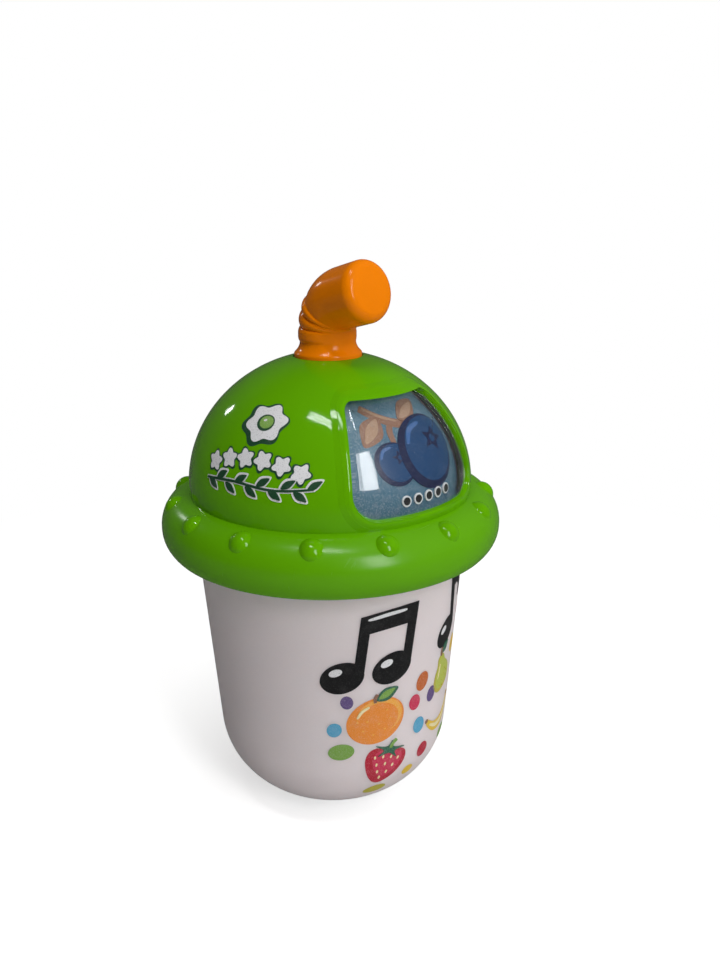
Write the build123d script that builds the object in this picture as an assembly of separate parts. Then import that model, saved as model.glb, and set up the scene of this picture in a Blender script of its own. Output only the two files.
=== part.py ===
from build123d import *
import math
import os

# Toy drinks cup: a translucent cup with a domed lid that turns on it, a window in the dome over a
# drum of pictures, and a bent straw that is pressed like a button.
# Millimetres. +Z is up, the base stands on z = 0 and the window faces -Y.

# ---------------------------------------------------------------- overall sizes
CUP_H = 101.4            # height of the brim's lower edge above the base
CUP_BASE_R = 41.9        # radius of the cup's wall, carried down to the base
CUP_TOP_R = 48.2         # radius of the cup's wall at the brim's lower edge
CUP_CORNER_R = 30.8      # round bottom corner of the cup
CUP_WALL = 2.2
BRIM_R = 60.0            # widest radius of the lid's brim
BRIM_LOW_IN = 2.5        # the brim's lower edge, in from its widest radius
BRIM_LOW_H = 6.2         # from the brim's lower edge up to where it is widest
BRIM_FLAT = 0.9          # straight band above the widest height
BRIM_H = 18.4            # from the brim's lower edge up to the crease with the dome
DOME_R = 49.6            # radius of the dome's wall
DOME_RISE = 45.4         # height of the dome's round part
DOME_WALL_RISE = 1.2     # straight wall between the crease and the round part
LID_WALL = 2.4

# ---------------------------------------------------------------- clearances
TURN_GAP = 0.3           # between pieces that move past each other
FIT_GAP = 0.15           # round pieces that drop into a seat
TOUCH_GAP = 0.05         # between faces that only meet
SOCKET_GAP = 0.1         # round the battery box in the base
PRESS_GAP = 0.08         # between the straw's screw and the plunger
OVER = 1.0               # how far a cut runs past what it cuts

# ---------------------------------------------------------------- screws
SCREW_R = 1.1
SCREW_HEAD_R = 2.0
SCREW_HEAD_T = 1.5
SCREW_SLOT_W = 0.6
SCREW_SLOT_L = 2.6
SCREW_SLOT_T = 0.7
SCREW_CLEAR = 0.25       # round a screw that passes through
PILOT_GAP = 0.02         # round a screw in its pilot hole
PILOT_SPARE = 1.0        # how much deeper a pilot hole is than its screw
BOSS_R = 2.4
LID_SCREW_L = 7.0
STRAW_SCREW_L = 8.0
DRUM_SCREW_L = 9.0
CHASSIS_SCREW_L = 8.0
BOARD_SCREW_L = 7.0
SPEAKER_SCREW_L = 4.2
BASE_SCREW_BITE = 7.0    # length of the base screws inside the cup's bosses
SMALL_SCREW_R = 0.66
SMALL_SCREW_L = 3.0
SMALL_HEAD_R = 1.3
SMALL_HEAD_T = 0.7

# ---------------------------------------------------------------- cup rim and lid ring
FLANGE_OUT = 3.1         # rim that the lid hangs on, out from the cup's wall
FLANGE_T = 2.2
FLANGE_RISE = 4.9        # underside of the rim above the brim's lower edge
RING_T = 2.6
RING_GAP = 0.5           # between the ring and the brim's inner face
LID_SCREWS = 5
LID_BOSS_GAP = 0.5       # between the rim and the lid's screw bosses

# ---------------------------------------------------------------- knobs on the brim
NUBS = 15
NUB_BASE_R = 3.5
NUB_RISE = 1.6
NUB_TILT = 52.0          # degrees up the shoulder's arc
NUB_PHASE = 1.7          # degrees from the front to the first knob

# ---------------------------------------------------------------- window
WINDOW_HALF_ANGLE = 32.2
WINDOW_RISE = 2.6        # lower edge of the window above the crease
WINDOW_H = 33.8
WINDOW_LOW_CORNER = 9.0
WINDOW_HIGH_CORNER = 2.6
WINDOW_LOW_INNER_R = 32.0  # the opening's lower half is cut from here outwards
WINDOW_WELL_GAP = 4.0    # and its upper half from this far outside the well
BEAD_W = 2.6             # raised frame round the window
BEAD_RISE = 0.3
LENS_SINK = 0.5          # lens face below the dome's face
LENS_T = 2.4
LENS_FLANGE_W = 2.2
LENS_FLANGE_T = 1.2
LENS_FLANGE_GAP = 0.1    # between the lens's flange and the dome's inner face

# ---------------------------------------------------------------- straw
STRAW_R = 9.4
STRAW_END_R = 9.8
STRAW_END_L = 13.4
STRAW_EDGE_R = 2.6
STRAW_WALL = 1.8
COLLAR_R = 11.45
COLLAR_RISE = 0.2        # foot of the collar's flare above the dome's face
COLLAR_DROP = 6.9        # part of the collar below the flare
FLARE_H = 4.2
FLARE_WAIST_H = 2.6      # the flare's waist: height and radius beyond the tube's
FLARE_WAIST_R = 0.74
BEND_RISE = 7.6          # start of the bend above the foot of the flare
BEND_R = 11.6
BEND_ANGLE = 76.0
RIB_ANGLES = (-4.0, 14.0, 29.5)
RIB_RISE = 0.45
RIB_ROOT = 0.5           # how deep a rib's section sits in the tube
RIB_SPAN = 200.0         # degrees of the tube that a rib goes round
PRESS_TRAVEL = 2.2
WELL_GAP = 0.35          # round the collar in the lid's well
WELL_WALL = 2.2
WELL_DEPTH = 10.9        # the well's floor below the foot of the flare
WELL_FLOOR_T = 2.0
STEM_SIDE = 7.0
STEM_PLATE_DROP = 3.4    # underside of the stem's plate below the foot of the flare
STEM_PLATE_T = 3.0
WASHER_LAP = 2.3         # the washer's reach past the stem's side
WASHER_T = 1.2
SPRING_R = 7.2           # middle of the straw spring's wire
SPRING_WIRE_R = 0.4
SPRING_TURNS = 4

# ---------------------------------------------------------------- picture drum
PICTURES = 5
DRUM_INSET = 6.2         # drum's face below the dome's face
DRUM_WALL = 1.8
DRUM_WELL_GAP = 2.0      # between the lid's well and the drum's well
DRUM_RIM_W = 4.6         # flat rim round the drum's well
DRUM_FLOOR_DROP = 7.0    # top of the drum's floor below the lid's well
DRUM_FLOOR_T = 2.0
PANEL_T = 0.3
PANEL_GAP_ANGLE = 3.0
PANEL_LOW_RISE = 6.7     # lower edge of the pictures above the lid's skirt
PANEL_TOP_DROP = 1.5     # upper edge of the pictures below the drum's top

# ---------------------------------------------------------------- click spring and lid contacts
CLICK_Z_RISE = 3.2       # middle of the click spring above the lid's skirt
CLICK_H = 4.4
CLICK_T = 0.4
CLICK_END = 19.0         # degrees from the nose to the spring's ends
CLICK_SCREW = 15.0       # to its screws
CLICK_BEND = 13.0        # to where it leaves the drum
CLICK_KNEE = 3.2         # to the foot of its nose
CLICK_BOW = 1.1
CLICK_SEAT_GAP = 0.15
CLICK_NOSE_GAP = 0.35    # from the nose's middle line to the lid's wall
NOTCH_R = 1.8
NOTCH_H = 6.0
NOTCH_OUT = 0.2
PEGS = 3
PEG_R = 0.7
PEG_H = 1.0
PEG_CIRCLE_R = 10.5
WIPER_R = 12.5
WIPER_INNER_R = 8.5
WIPER_T = 0.4
FINGER_RUN = 9.0
FINGER_W = 1.4
FINGER_R = 7.2
POSITION_BOARD_R = 14.0
POSITION_BOARD_HOLE_R = 5.5
POSITION_BOARD_T = 1.2

# ---------------------------------------------------------------- chassis, plunger and boards
DECK_DROP = 13.5         # underside of the deck below the cup's rim
DECK_T = 2.5
DECK_GAP = 0.8           # between the deck and the cup's wall
COLUMN_R = 14.5
COLUMN_WALL = 2.0
GUIDE_R = 4.5
GUIDE_DROP = 0.5
PLUNGER_R = 2.2
PLUNGER_GAP = 0.1        # round the plunger in its guide
PLUNGER_HEAD_R = 4.0
PLUNGER_HEAD_T = 2.0
CHASSIS_SCREWS = 4
CHASSIS_SCREW_IN = 3.1   # chassis screws' circle, in from the drum's inner face
CUP_BOSS_H = 13.0
CUP_BOSS_R = 3.2
CUP_WEB_T = 2.0
DRUM_SCREWS = 3
DRUM_SCREW_R = 11.3
BOARD_R = 26.0
BOARD_T = 1.6
BOARD_SCREW_R = 21.0
LEAD_HOLE_R = 1.6        # hole for the two leads from the position board
LEAD_HOLE_Y = 8.0
LEAD_PITCH = 1.5
PAD_R = 5.0
PAD_H = 6.0
PAD_WALL = 1.0
PAD_TOP_T = 2.2
PAD_TOP_EDGE = 0.8
PAD_FLANGE_W = 2.0
PAD_FLANGE_T = 0.8
PAD_DECK_GAP = 1.4       # between the pad and the deck
CHIP_X = -12.0
CHIP_Y = 9.0
CHIP_R = 6.0
CHIP_H = 1.6
CAPACITOR_X = 13.0
CAPACITOR_Y = 8.0
CAPACITOR_R = 3.0
CAPACITOR_H = 6.0
LIGHTS = 3
LIGHT_R = 2.5
LIGHT_H = 5.5
LIGHT_RIM_W = 0.4
LIGHT_RIM_T = 1.0
LIGHT_CIRCLE_R = 15.5

# ---------------------------------------------------------------- base cap
SEAM_R = 33.0            # seam between the base cap and the cup
SEAM_RISE = 0.3          # how far the opening's edge stands above the cup's inner face
LIP_IN = 2.6             # the base cap's locating lip, in from the seam
LIP_T = 1.5
FOOT_R = 24.0            # flat foot that the toy stands on
FOOT_EDGE_R = 0.8
FLOOR_T = 2.2
BASE_SCREWS = 3
BASE_SCREW_R = 27.5
BASE_POST_R = 3.6
BASE_HEAD_GAP = 0.4      # round a base screw's head
BASE_HEAD_RISE = 3.4     # seat of the heads above the outside of the base
BASE_BOSS_RISE = 5.0     # top of the posts above the seam
BASE_BOSS_R = 3.0
BASE_BOSS_H = 9.0
BASE_WEB_T = 2.2

# ---------------------------------------------------------------- batteries and their door
CELL_R = 5.25
CELL_L = 44.5
CELL_TIP_R = 1.9
CELL_TIP_L = 0.8
CELL_GAP = 0.4           # between the two cells
CELL_ROOM = 0.6          # spare width for them in the box
BOX_Y = 8.5              # centre of the battery box, behind the middle
BOX_WALL = 1.5
BOX_TOP_ROOM = 2.6       # for the contacts above the cells
SOCKET_H = 3.0           # depth of the collar that the box stands in
DOOR_T = 1.8
DOOR_SINK = 0.2
DOOR_LAP_X = 3.0         # the door's reach past the opening
DOOR_LAP_Y = 2.45
DOOR_RIM = 1.2
DOOR_TAB_W = 7.2
DOOR_TAB_L = 6.0
DOOR_SCREW_IN = 3.6
DOOR_SEAT_GAP = 0.1
LEDGE_T = 1.8
GRIPS = 3                # grooves for the thumb
GRIP_L = 9.0
GRIP_W = 0.8
GRIP_T = 0.3
GRIP_PITCH = 1.6
GRIP_OUT = 5.2
CONTACT_T = 0.4
CONTACT_SIDE = 8.0
CONTACT_BUTTON_R = 2.2
CONTACT_COIL_R = 3.0
CONTACT_COIL_INNER_R = 2.2
CONTACT_RISE = 3.2       # lower end of the cells above the door
TAB_W = 2.0
TAB_T = 0.5
TAB_H = 1.2
TAB_ROOM = 0.4
STRIP_D = 7.0
STRIP_SEAT_R = 3.4
STRIP_SEAT_INNER_R = 2.6

# ---------------------------------------------------------------- speaker
SPEAKER_R = 11.5
SPEAKER_H = 5.0
SPEAKER_SEAT_Z = 4.8
SPEAKER_FRAME_T = 1.2
SPEAKER_RIM_W = 2.4
SPEAKER_SEAT_WALL = 1.45
SPEAKER_SEAT_W = 2.0
BASKET_TOP_R = 6.6
BASKET_WALL = 0.6
MAGNET_R = 6.0
MAGNET_H = 2.6
POLE_R = 4.8
CONE_SLOPE_H = 2.6
CONE_T = 0.4
CONE_INNER_R = 3.0
CONE_CAP_R = 3.4
CONE_CAP_RISE = 2.9
CLAMP_T = 1.2
CLAMP_W = 1.2
SOUND_HOLE_R = 0.9
SOUND_RINGS = ((3.2, 6), (6.2, 12))  # radius and number of holes

# ---------------------------------------------------------------- slide switch
SWITCH_Y = 2.0
SWITCH_TRAVEL = 5.0
SWITCH_W = 4.4
SWITCH_L = 9.0
SWITCH_H = 4.0
SWITCH_PIN_PITCH = 2.5
SWITCH_PIN_L = 1.8
SWITCH_PIN_W = 1.6
SWITCH_PIN_T = 0.4
SWITCH_POST_T = 1.2
KNOB_W = 3.0
KNOB_L = 3.2
KNOB_SINK = 0.5
KNOB_PLATE_W = 4.4       # plate inside the base that keeps the knob in
KNOB_PLATE_L = 3.9
KNOB_PLATE_T = 0.95
KNOB_SLOT_GAP = 0.2
KNOB_GROOVE_W = 0.4
KNOB_GROOVE_T = 0.3
KNOB_GROOVE_PITCH = 0.9
SLIDE_GAP = 0.15         # under and over the knob's plate

# ---------------------------------------------------------------- leads
WIRE_R = 0.55
CORNER_SHARE = 0.45      # share of the shorter run that a lead's corner takes
LEAD_BOW = 3.0
LEAD_RISE = 8.0          # upright run at the start of a lead
LEAD_DROP = 12.0         # and at its end, under the board
SHORT_RISE = 6.0         # the same for the short battery leads
SPEAKER_LEAD_X = 2.0

# ---------------------------------------------------------------- worked out from the sizes above
BRIM_WIDEST_Z = CUP_H + BRIM_LOW_H
BRIM_SHOULDER_Z = BRIM_WIDEST_Z + BRIM_FLAT
CREASE_Z = CUP_H + BRIM_H
SPRING_LINE_Z = CREASE_Z + DOME_WALL_RISE
WALL_SLOPE = (CUP_TOP_R - CUP_BASE_R) / CUP_H
WALL_LEAN = math.atan(WALL_SLOPE)
SHOULDER_IN = BRIM_R - DOME_R
SHOULDER_UP = CREASE_Z - BRIM_SHOULDER_Z
SHOULDER_R = (SHOULDER_IN**2 + SHOULDER_UP**2) / (2 * SHOULDER_IN)
SKIRT_R = (BRIM_LOW_IN**2 + BRIM_LOW_H**2) / (2 * BRIM_LOW_IN)
WINDOW_LOW_Z = CREASE_Z + WINDOW_RISE
WINDOW_HIGH_Z = WINDOW_LOW_Z + WINDOW_H


# ---------------------------------------------------------------- small helpers
def disc(radius, low, high):
    """A cylinder on the Z axis from one height to another."""
    return Pos(0, 0, low) * Cylinder(radius, high - low, align=(Align.CENTER, Align.CENTER, Align.MIN))


def ring(outer, inner, low, high):
    """A flat ring on the Z axis."""
    return disc(outer, low, high) - disc(inner, low - OVER, high + OVER)


def block(width, depth, low, high, x=0.0, y=0.0):
    """A box centred on (x, y), from one height to another."""
    box = Box(width, depth, high - low, align=(Align.CENTER, Align.CENTER, Align.MIN))
    return Pos(x, y, low) * box


def place(angle, radius):
    """The plan position at an angle from the front, positive towards +X."""
    a = math.radians(angle)
    return radius * math.sin(a), -radius * math.cos(a)


def put(piece, angle, radius):
    """Move a piece from the Z axis to an angle and radius."""
    x, y = place(angle, radius)
    return Pos(x, y, 0) * piece


def spaced(count, phase=0.0):
    """Angles evenly spaced round the axis."""
    return [phase + 360.0 / count * i for i in range(count)]


def turned(piece, angle):
    """Turn a piece about the Z axis, from the front towards +X."""
    return Rot(0, 0, angle) * piece


def solid_of_turn(lines):
    """Revolve an outline in the XZ plane about the Z axis."""
    face = make_face(lines)
    return revolve(face, Axis.Z)


def at_xz(x, z):
    """A point of an outline in the XZ plane."""
    return (x, 0, z)


def arc_xz(centre, radius, start, end):
    """An arc of an outline in the XZ plane, with its angles counted from +X up."""
    points = []
    for angle in (start, (start + end) / 2, end):
        a = math.radians(angle)
        points.append(at_xz(centre[0] + radius * math.cos(a), centre[1] + radius * math.sin(a)))
    return ThreePointArc(*points)


def screw(head_z, length, head_up=True):
    """A pan head screw on the Z axis; head_z is where its head seats."""
    body = disc(SCREW_HEAD_R, 0, SCREW_HEAD_T) + disc(SCREW_R, -length, 0)
    body -= screw_slot(SCREW_HEAD_T - SCREW_SLOT_T, SCREW_HEAD_T + OVER)
    if not head_up:
        body = Rot(180, 0, 0) * body
    return Pos(0, 0, head_z) * body


def screw_slot(low, high):
    """The cross in a screw's head."""
    return block(SCREW_SLOT_W, SCREW_SLOT_L, low, high) + block(SCREW_SLOT_L, SCREW_SLOT_W, low, high)


def hole(low, high):
    """The pilot hole that a screw is driven into."""
    return disc(SCREW_R + PILOT_GAP, low, high)


def clearance_hole(low, high):
    """The hole that a screw passes through."""
    return disc(SCREW_R + SCREW_CLEAR, low, high)


def taper(low_radius, high_radius, height, low):
    """A cone on the Z axis."""
    cone = Cone(low_radius, high_radius, height, align=(Align.CENTER, Align.CENTER, Align.MIN))
    return Pos(0, 0, low) * cone


def pair_of(make):
    """Two pieces, one for each side of the YZ plane."""
    return Compound(children=[make(-1), make(1)])


def lead_along(points):
    """A round lead along straight runs, each corner rounded as widely as its runs allow."""
    knots = [Vector(*point) for point in points]
    radii = []
    for before, corner, after in zip(knots, knots[1:], knots[2:]):
        run_in = corner - before
        run_out = after - corner
        half_turn = math.radians(run_in.get_angle(run_out)) / 2
        radii.append(CORNER_SHARE * min(run_in.length, run_out.length) / math.tan(half_turn))
    path = FilletPolyline(*points, radius=radii)
    section = Plane(origin=path @ 0, z_dir=path % 0) * Circle(WIRE_R)
    return sweep(section, path=path)


# ---------------------------------------------------------------- shared outlines
def wall_radius(z):
    """Outer radius of the cup's straight wall."""
    return CUP_BASE_R + WALL_SLOPE * z


def cup_solid(inset, top):
    """The cup's outline as a full solid, its face moved in by inset."""
    shift = inset / math.cos(WALL_LEAN)
    corner_r = wall_radius(CUP_CORNER_R) - CUP_CORNER_R / math.cos(WALL_LEAN)
    radius = CUP_CORNER_R - inset
    lean = math.degrees(WALL_LEAN)
    tangent = (corner_r + radius * math.cos(WALL_LEAN), CUP_CORNER_R - radius * math.sin(WALL_LEAN))
    outline = Line(at_xz(0, inset), at_xz(corner_r, inset))
    outline += arc_xz((corner_r, CUP_CORNER_R), radius, -90, -lean)
    outline += Line(at_xz(*tangent), at_xz(wall_radius(top) - shift, top))
    outline += Line(at_xz(wall_radius(top) - shift, top), at_xz(0, top))
    outline += Line(at_xz(0, top), at_xz(0, inset))
    return solid_of_turn(outline)


def corner_z(radius, inset=0.0):
    """Height of the cup's rounded bottom at a radius."""
    corner_r = wall_radius(CUP_CORNER_R) - CUP_CORNER_R / math.cos(WALL_LEAN)
    reach = max(radius - corner_r, 0)
    return CUP_CORNER_R - math.sqrt((CUP_CORNER_R - inset) ** 2 - reach**2)


def dome_solid(inset, low):
    """The dome as a full solid, its face moved in by inset, with a straight wall down to low."""
    a = DOME_R - inset
    b = DOME_RISE - inset
    outline = Line(at_xz(0, low), at_xz(a, low))
    outline += Line(at_xz(a, low), at_xz(a, SPRING_LINE_Z))
    quarter = EllipticalCenterArc((0, 0), a, b, start_angle=0, arc_size=90)
    outline += Pos(0, 0, SPRING_LINE_Z) * (Rot(90, 0, 0) * quarter)
    outline += Line(at_xz(0, SPRING_LINE_Z + b), at_xz(0, low))
    return solid_of_turn(outline)


def dome_radius(z, inset=0.0):
    """Radius of the dome's face at a height."""
    up = max(z - SPRING_LINE_Z, 0)
    return (DOME_R - inset) * math.sqrt(1 - (up / (DOME_RISE - inset)) ** 2)


def dome_height(radius, inset=0.0):
    """Height of the dome's face at a radius."""
    return SPRING_LINE_Z + (DOME_RISE - inset) * math.sqrt(1 - (radius / (DOME_R - inset)) ** 2)


def skirt_radius(z):
    """Radius of the brim's face under its widest height."""
    return BRIM_R - SKIRT_R + math.sqrt(SKIRT_R**2 - (BRIM_WIDEST_Z - z) ** 2)


def brim_solid(inset):
    """The brim as a full solid, its face moved in by inset."""
    low = CUP_H - (OVER if inset else 0.0)
    low_r = BRIM_R - BRIM_LOW_IN - inset
    shoulder = SHOULDER_R - inset
    shoulder_centre = (BRIM_R - SHOULDER_R, BRIM_SHOULDER_Z)
    skirt_centre = (BRIM_R - SKIRT_R - inset, BRIM_WIDEST_Z)
    start = -math.degrees(math.asin(BRIM_LOW_H / SKIRT_R))
    end = math.degrees(math.acos((DOME_R - shoulder_centre[0]) / shoulder))
    top_z = BRIM_SHOULDER_Z + shoulder * math.sin(math.radians(end))
    outline = Line(at_xz(0, low), at_xz(low_r, low))
    if inset:
        outline += Line(at_xz(low_r, low), at_xz(low_r, CUP_H))
    outline += arc_xz(skirt_centre, SKIRT_R, start, 0)
    outline += Line(at_xz(BRIM_R - inset, BRIM_WIDEST_Z), at_xz(BRIM_R - inset, BRIM_SHOULDER_Z))
    outline += arc_xz(shoulder_centre, shoulder, 0, end)
    outline += Line(at_xz(DOME_R, top_z), at_xz(0, top_z))
    outline += Line(at_xz(0, top_z), at_xz(0, low))
    return solid_of_turn(outline)


def window_wedge(grow, inner, low, high):
    """A block that widens from the axis with the window's sides moved out by grow."""
    h = math.radians(WINDOW_HALF_ANGLE)
    corners = []
    for side, radius in ((-1, inner), (-1, BRIM_R), (1, BRIM_R), (1, inner)):
        x = side * (radius * math.sin(h) + grow * math.cos(h))
        y = -radius * math.cos(h) + grow * math.sin(h)
        corners.append((x, y))
    return Pos(0, 0, low) * extrude(Polygon(*corners, align=None), amount=high - low)


def long_edges(wedge, inner, z):
    """The two slanted edges of a window wedge at one height."""
    length = BRIM_R - inner
    return [e for e in wedge.edges() if abs(e.length - length) < 0.01 and abs(e.center().Z - z) < 0.01]


def window_cutter(grow):
    """The window's opening as a solid, its outline moved out by grow."""
    low = WINDOW_LOW_Z - grow
    high = WINDOW_HIGH_Z + grow
    middle = (low + high) / 2
    lower = window_wedge(grow, WINDOW_LOW_INNER_R, low, middle)
    lower = fillet(long_edges(lower, WINDOW_LOW_INNER_R, low), WINDOW_LOW_CORNER + grow)
    upper = window_wedge(grow, WINDOW_INNER_R, middle, high)
    upper = fillet(long_edges(upper, WINDOW_INNER_R, high), WINDOW_HIGH_CORNER + grow)
    return lower + upper


# ---------------------------------------------------------------- places that follow the outlines
FLANGE_R = CUP_TOP_R + FLANGE_OUT
FLANGE_Z = CUP_H + FLANGE_RISE
CUP_TOP_Z = FLANGE_Z + FLANGE_T
LID_SKIRT_Z = CUP_TOP_Z + TURN_GAP
RING_TOP_Z = FLANGE_Z - TURN_GAP
RING_Z = RING_TOP_Z - RING_T
RING_R = skirt_radius(RING_Z) - LID_WALL - RING_GAP
LID_SCREW_R = FLANGE_R + LID_BOSS_GAP + BOSS_R
LID_INNER_R = DOME_R - LID_WALL

COLLAR_Z = dome_height(COLLAR_R) + COLLAR_RISE
BEND_Z = COLLAR_Z + BEND_RISE
WELL_R = COLLAR_R + WELL_GAP
WELL_FLOOR_Z = COLLAR_Z - WELL_DEPTH
WELL_LOW_Z = WELL_FLOOR_Z - WELL_FLOOR_T
WINDOW_INNER_R = WELL_R + WELL_WALL + WINDOW_WELL_GAP
SOCKET_R = COLLAR_R - STRAW_WALL
STEM_PLATE_Z = COLLAR_Z - STEM_PLATE_DROP
STEM_LOW_Z = WELL_LOW_Z - TURN_GAP
WASHER_Z = STEM_LOW_Z - WASHER_T
PRESS_Z = WASHER_Z - SCREW_HEAD_T
PLUNGER_TOP_Z = PRESS_Z - PRESS_GAP

DECK_Z = CUP_TOP_Z - DECK_DROP
DECK_TOP_Z = DECK_Z + DECK_T
DECK_R = wall_radius(DECK_Z) - CUP_WALL - DECK_GAP
PAD_TOP_Z = DECK_Z - PAD_DECK_GAP
BOARD_TOP_Z = PAD_TOP_Z - PAD_H
BOARD_Z = BOARD_TOP_Z - BOARD_T
DRUM_R = DOME_R - DRUM_INSET
DRUM_WELL_R = WELL_R + WELL_WALL + DRUM_WELL_GAP
DRUM_RIM_R = DRUM_WELL_R + DRUM_RIM_W
DRUM_TOP_Z = dome_height(DRUM_RIM_R, DRUM_INSET)
DRUM_FLOOR_Z = WELL_LOW_Z - DRUM_FLOOR_DROP
COLUMN_TOP_Z = DRUM_FLOOR_Z - DRUM_FLOOR_T
POSITION_TOP_Z = DRUM_FLOOR_Z + POSITION_BOARD_T
CHASSIS_SCREW_R = DRUM_R - DRUM_WALL - CHASSIS_SCREW_IN
PANEL_LOW_Z = LID_SKIRT_Z + PANEL_LOW_RISE
PANEL_HIGH_Z = DRUM_TOP_Z - PANEL_TOP_DROP
CLICK_Z = LID_SKIRT_Z + CLICK_Z_RISE

BASE_SCREW_Z = corner_z(BASE_SCREW_R) + BASE_HEAD_RISE
BASE_BOSS_Z = corner_z(SEAM_R) + BASE_BOSS_RISE
DOOR_TOP_Z = DOOR_SINK + DOOR_T
LEDGE_Z = DOOR_TOP_Z + DOOR_SEAT_GAP
LEDGE_TOP_Z = LEDGE_Z + LEDGE_T
CELL_PITCH = 2 * CELL_R + CELL_GAP
CELL_Z = DOOR_TOP_Z + CONTACT_RISE
CELL_TOP_Z = CELL_Z + CELL_L
BOX_ROOF_Z = CELL_TOP_Z + BOX_TOP_ROOM
BOX_TOP_Z = BOX_ROOF_Z + BOX_WALL
BOX_ROOM_W = CELL_PITCH + 2 * CELL_R + CELL_ROOM
BOX_ROOM_D = 2 * CELL_R + CELL_ROOM
BOX_W = BOX_ROOM_W + 2 * BOX_WALL
BOX_D = BOX_ROOM_D + 2 * BOX_WALL
DOOR_W = BOX_ROOM_W + 2 * DOOR_LAP_X
DOOR_D = BOX_ROOM_D + 2 * DOOR_LAP_Y
DOOR_SCREW_Y = BOX_Y + DOOR_D / 2 + DOOR_TAB_L - DOOR_SCREW_IN
SOCKET_FRONT_Y = BOX_Y - BOX_D / 2 - BOX_WALL - SOCKET_GAP
SPEAKER_SEAT_R = SPEAKER_R + FIT_GAP + SPEAKER_SEAT_WALL
SPEAKER_Y = SOCKET_FRONT_Y - TOUCH_GAP - SPEAKER_SEAT_R
SPEAKER_TOP_Z = SPEAKER_SEAT_Z + SPEAKER_H
SPEAKER_CLAMP_Z = SPEAKER_SEAT_Z + SPEAKER_FRAME_T
SPEAKER_SCREW_X = SPEAKER_R + BOSS_R + TOUCH_GAP + FIT_GAP
SWITCH_X = -(DOOR_W / 2 + DOOR_RIM + TURN_GAP + SWITCH_W / 2)
KNOB_PLATE_Z = FLOOR_T + SLIDE_GAP
SWITCH_Z = KNOB_PLATE_Z + KNOB_PLATE_T + SLIDE_GAP
SWITCH_TOP_Z = SWITCH_Z + SWITCH_H


# ---------------------------------------------------------------- lid
def brim_nub():
    """One round knob on the shoulder of the brim, at the front."""
    radius = (NUB_BASE_R**2 + NUB_RISE**2) / (2 * NUB_RISE)
    reach = SHOULDER_R + NUB_RISE - radius
    tilt = math.radians(NUB_TILT)
    x = BRIM_R - SHOULDER_R + reach * math.cos(tilt)
    z = BRIM_SHOULDER_Z + reach * math.sin(tilt)
    return Pos(0, -x, z) * Sphere(radius)


def straw_well():
    """The sleeve and floor in the lid that guide the straw and carry its spring."""
    top = dome_height(WELL_R + WELL_WALL, LID_WALL) + LID_WALL / 4
    return disc(WELL_R + WELL_WALL, WELL_LOW_Z, top)


def window_bead():
    """The raised frame round the window."""
    skin = dome_solid(-BEAD_RISE, CREASE_Z - OVER) - dome_solid(LID_WALL / 2, CREASE_Z - 2 * OVER)
    return skin & window_cutter(BEAD_W)


def lid_boss():
    """A screw boss that hangs from the inside of the brim's shoulder."""
    boss = disc(BOSS_R, RING_TOP_Z, CREASE_Z)
    return boss & Pos(0, LID_SCREW_R, 0) * brim_solid(LID_WALL / 2)


def make_dome_lid():
    lid = brim_solid(0) + dome_solid(0, CUP_H) + window_bead()
    for angle in spaced(NUBS, NUB_PHASE):
        lid += turned(brim_nub(), angle)
    lid -= dome_solid(LID_WALL, CUP_H - OVER)
    lid -= brim_solid(LID_WALL) - disc(DOME_R, CUP_H - 2 * OVER, CREASE_Z + OVER)
    lid -= disc(DOME_R + TURN_GAP, CUP_H - OVER, LID_SKIRT_Z)
    lid += straw_well()
    lid -= disc(WELL_R, WELL_FLOOR_Z, SPRING_LINE_Z + DOME_RISE + OVER)
    stem_hole = STEM_SIDE + 2 * FIT_GAP
    lid -= block(stem_hole, stem_hole, WELL_LOW_Z - OVER, WELL_FLOOR_Z + OVER)
    lid -= window_cutter(0)
    boss = lid_boss()
    pilot = hole(RING_TOP_Z - OVER, RING_Z + SCREW_HEAD_T + LID_SCREW_L + PILOT_SPARE)
    for angle in spaced(LID_SCREWS):
        lid += put(boss, angle, LID_SCREW_R)
        lid -= put(pilot, angle, LID_SCREW_R)
    notch = disc(NOTCH_R, LID_SKIRT_Z - OVER, LID_SKIRT_Z + NOTCH_H)
    for angle in spaced(PICTURES, 180.0):
        lid -= put(notch, angle, LID_INNER_R - NOTCH_OUT)
    peg = disc(PEG_R, WELL_LOW_Z - PEG_H, WELL_FLOOR_Z)
    for angle in spaced(PEGS, 60.0):
        lid += put(peg, angle, PEG_CIRCLE_R)
    return lid


def make_window_lens():
    pane = dome_solid(LENS_SINK, CREASE_Z) - dome_solid(LENS_SINK + LENS_T, CREASE_Z - OVER)
    pane &= window_cutter(-FIT_GAP)
    face = LID_WALL + LENS_FLANGE_GAP
    flange = dome_solid(face, LID_SKIRT_Z) - dome_solid(face + LENS_FLANGE_T, LID_SKIRT_Z - OVER)
    return pane + (flange & window_cutter(LENS_FLANGE_W))


def make_lid_ring():
    inner = wall_radius(RING_TOP_Z) + TURN_GAP + SOCKET_GAP
    plate = ring(RING_R, inner, RING_Z, RING_TOP_Z)
    seat = disc(SCREW_HEAD_R + TURN_GAP, RING_Z - OVER, RING_Z + SCREW_HEAD_T)
    seat += clearance_hole(RING_Z, RING_TOP_Z + OVER)
    for angle in spaced(LID_SCREWS):
        plate -= put(seat, angle, LID_SCREW_R)
    return plate


def make_lid_screws():
    one = screw(RING_Z + SCREW_HEAD_T, LID_SCREW_L, head_up=False)
    return Compound(children=[put(one, angle, LID_SCREW_R) for angle in spaced(LID_SCREWS)])


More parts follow.
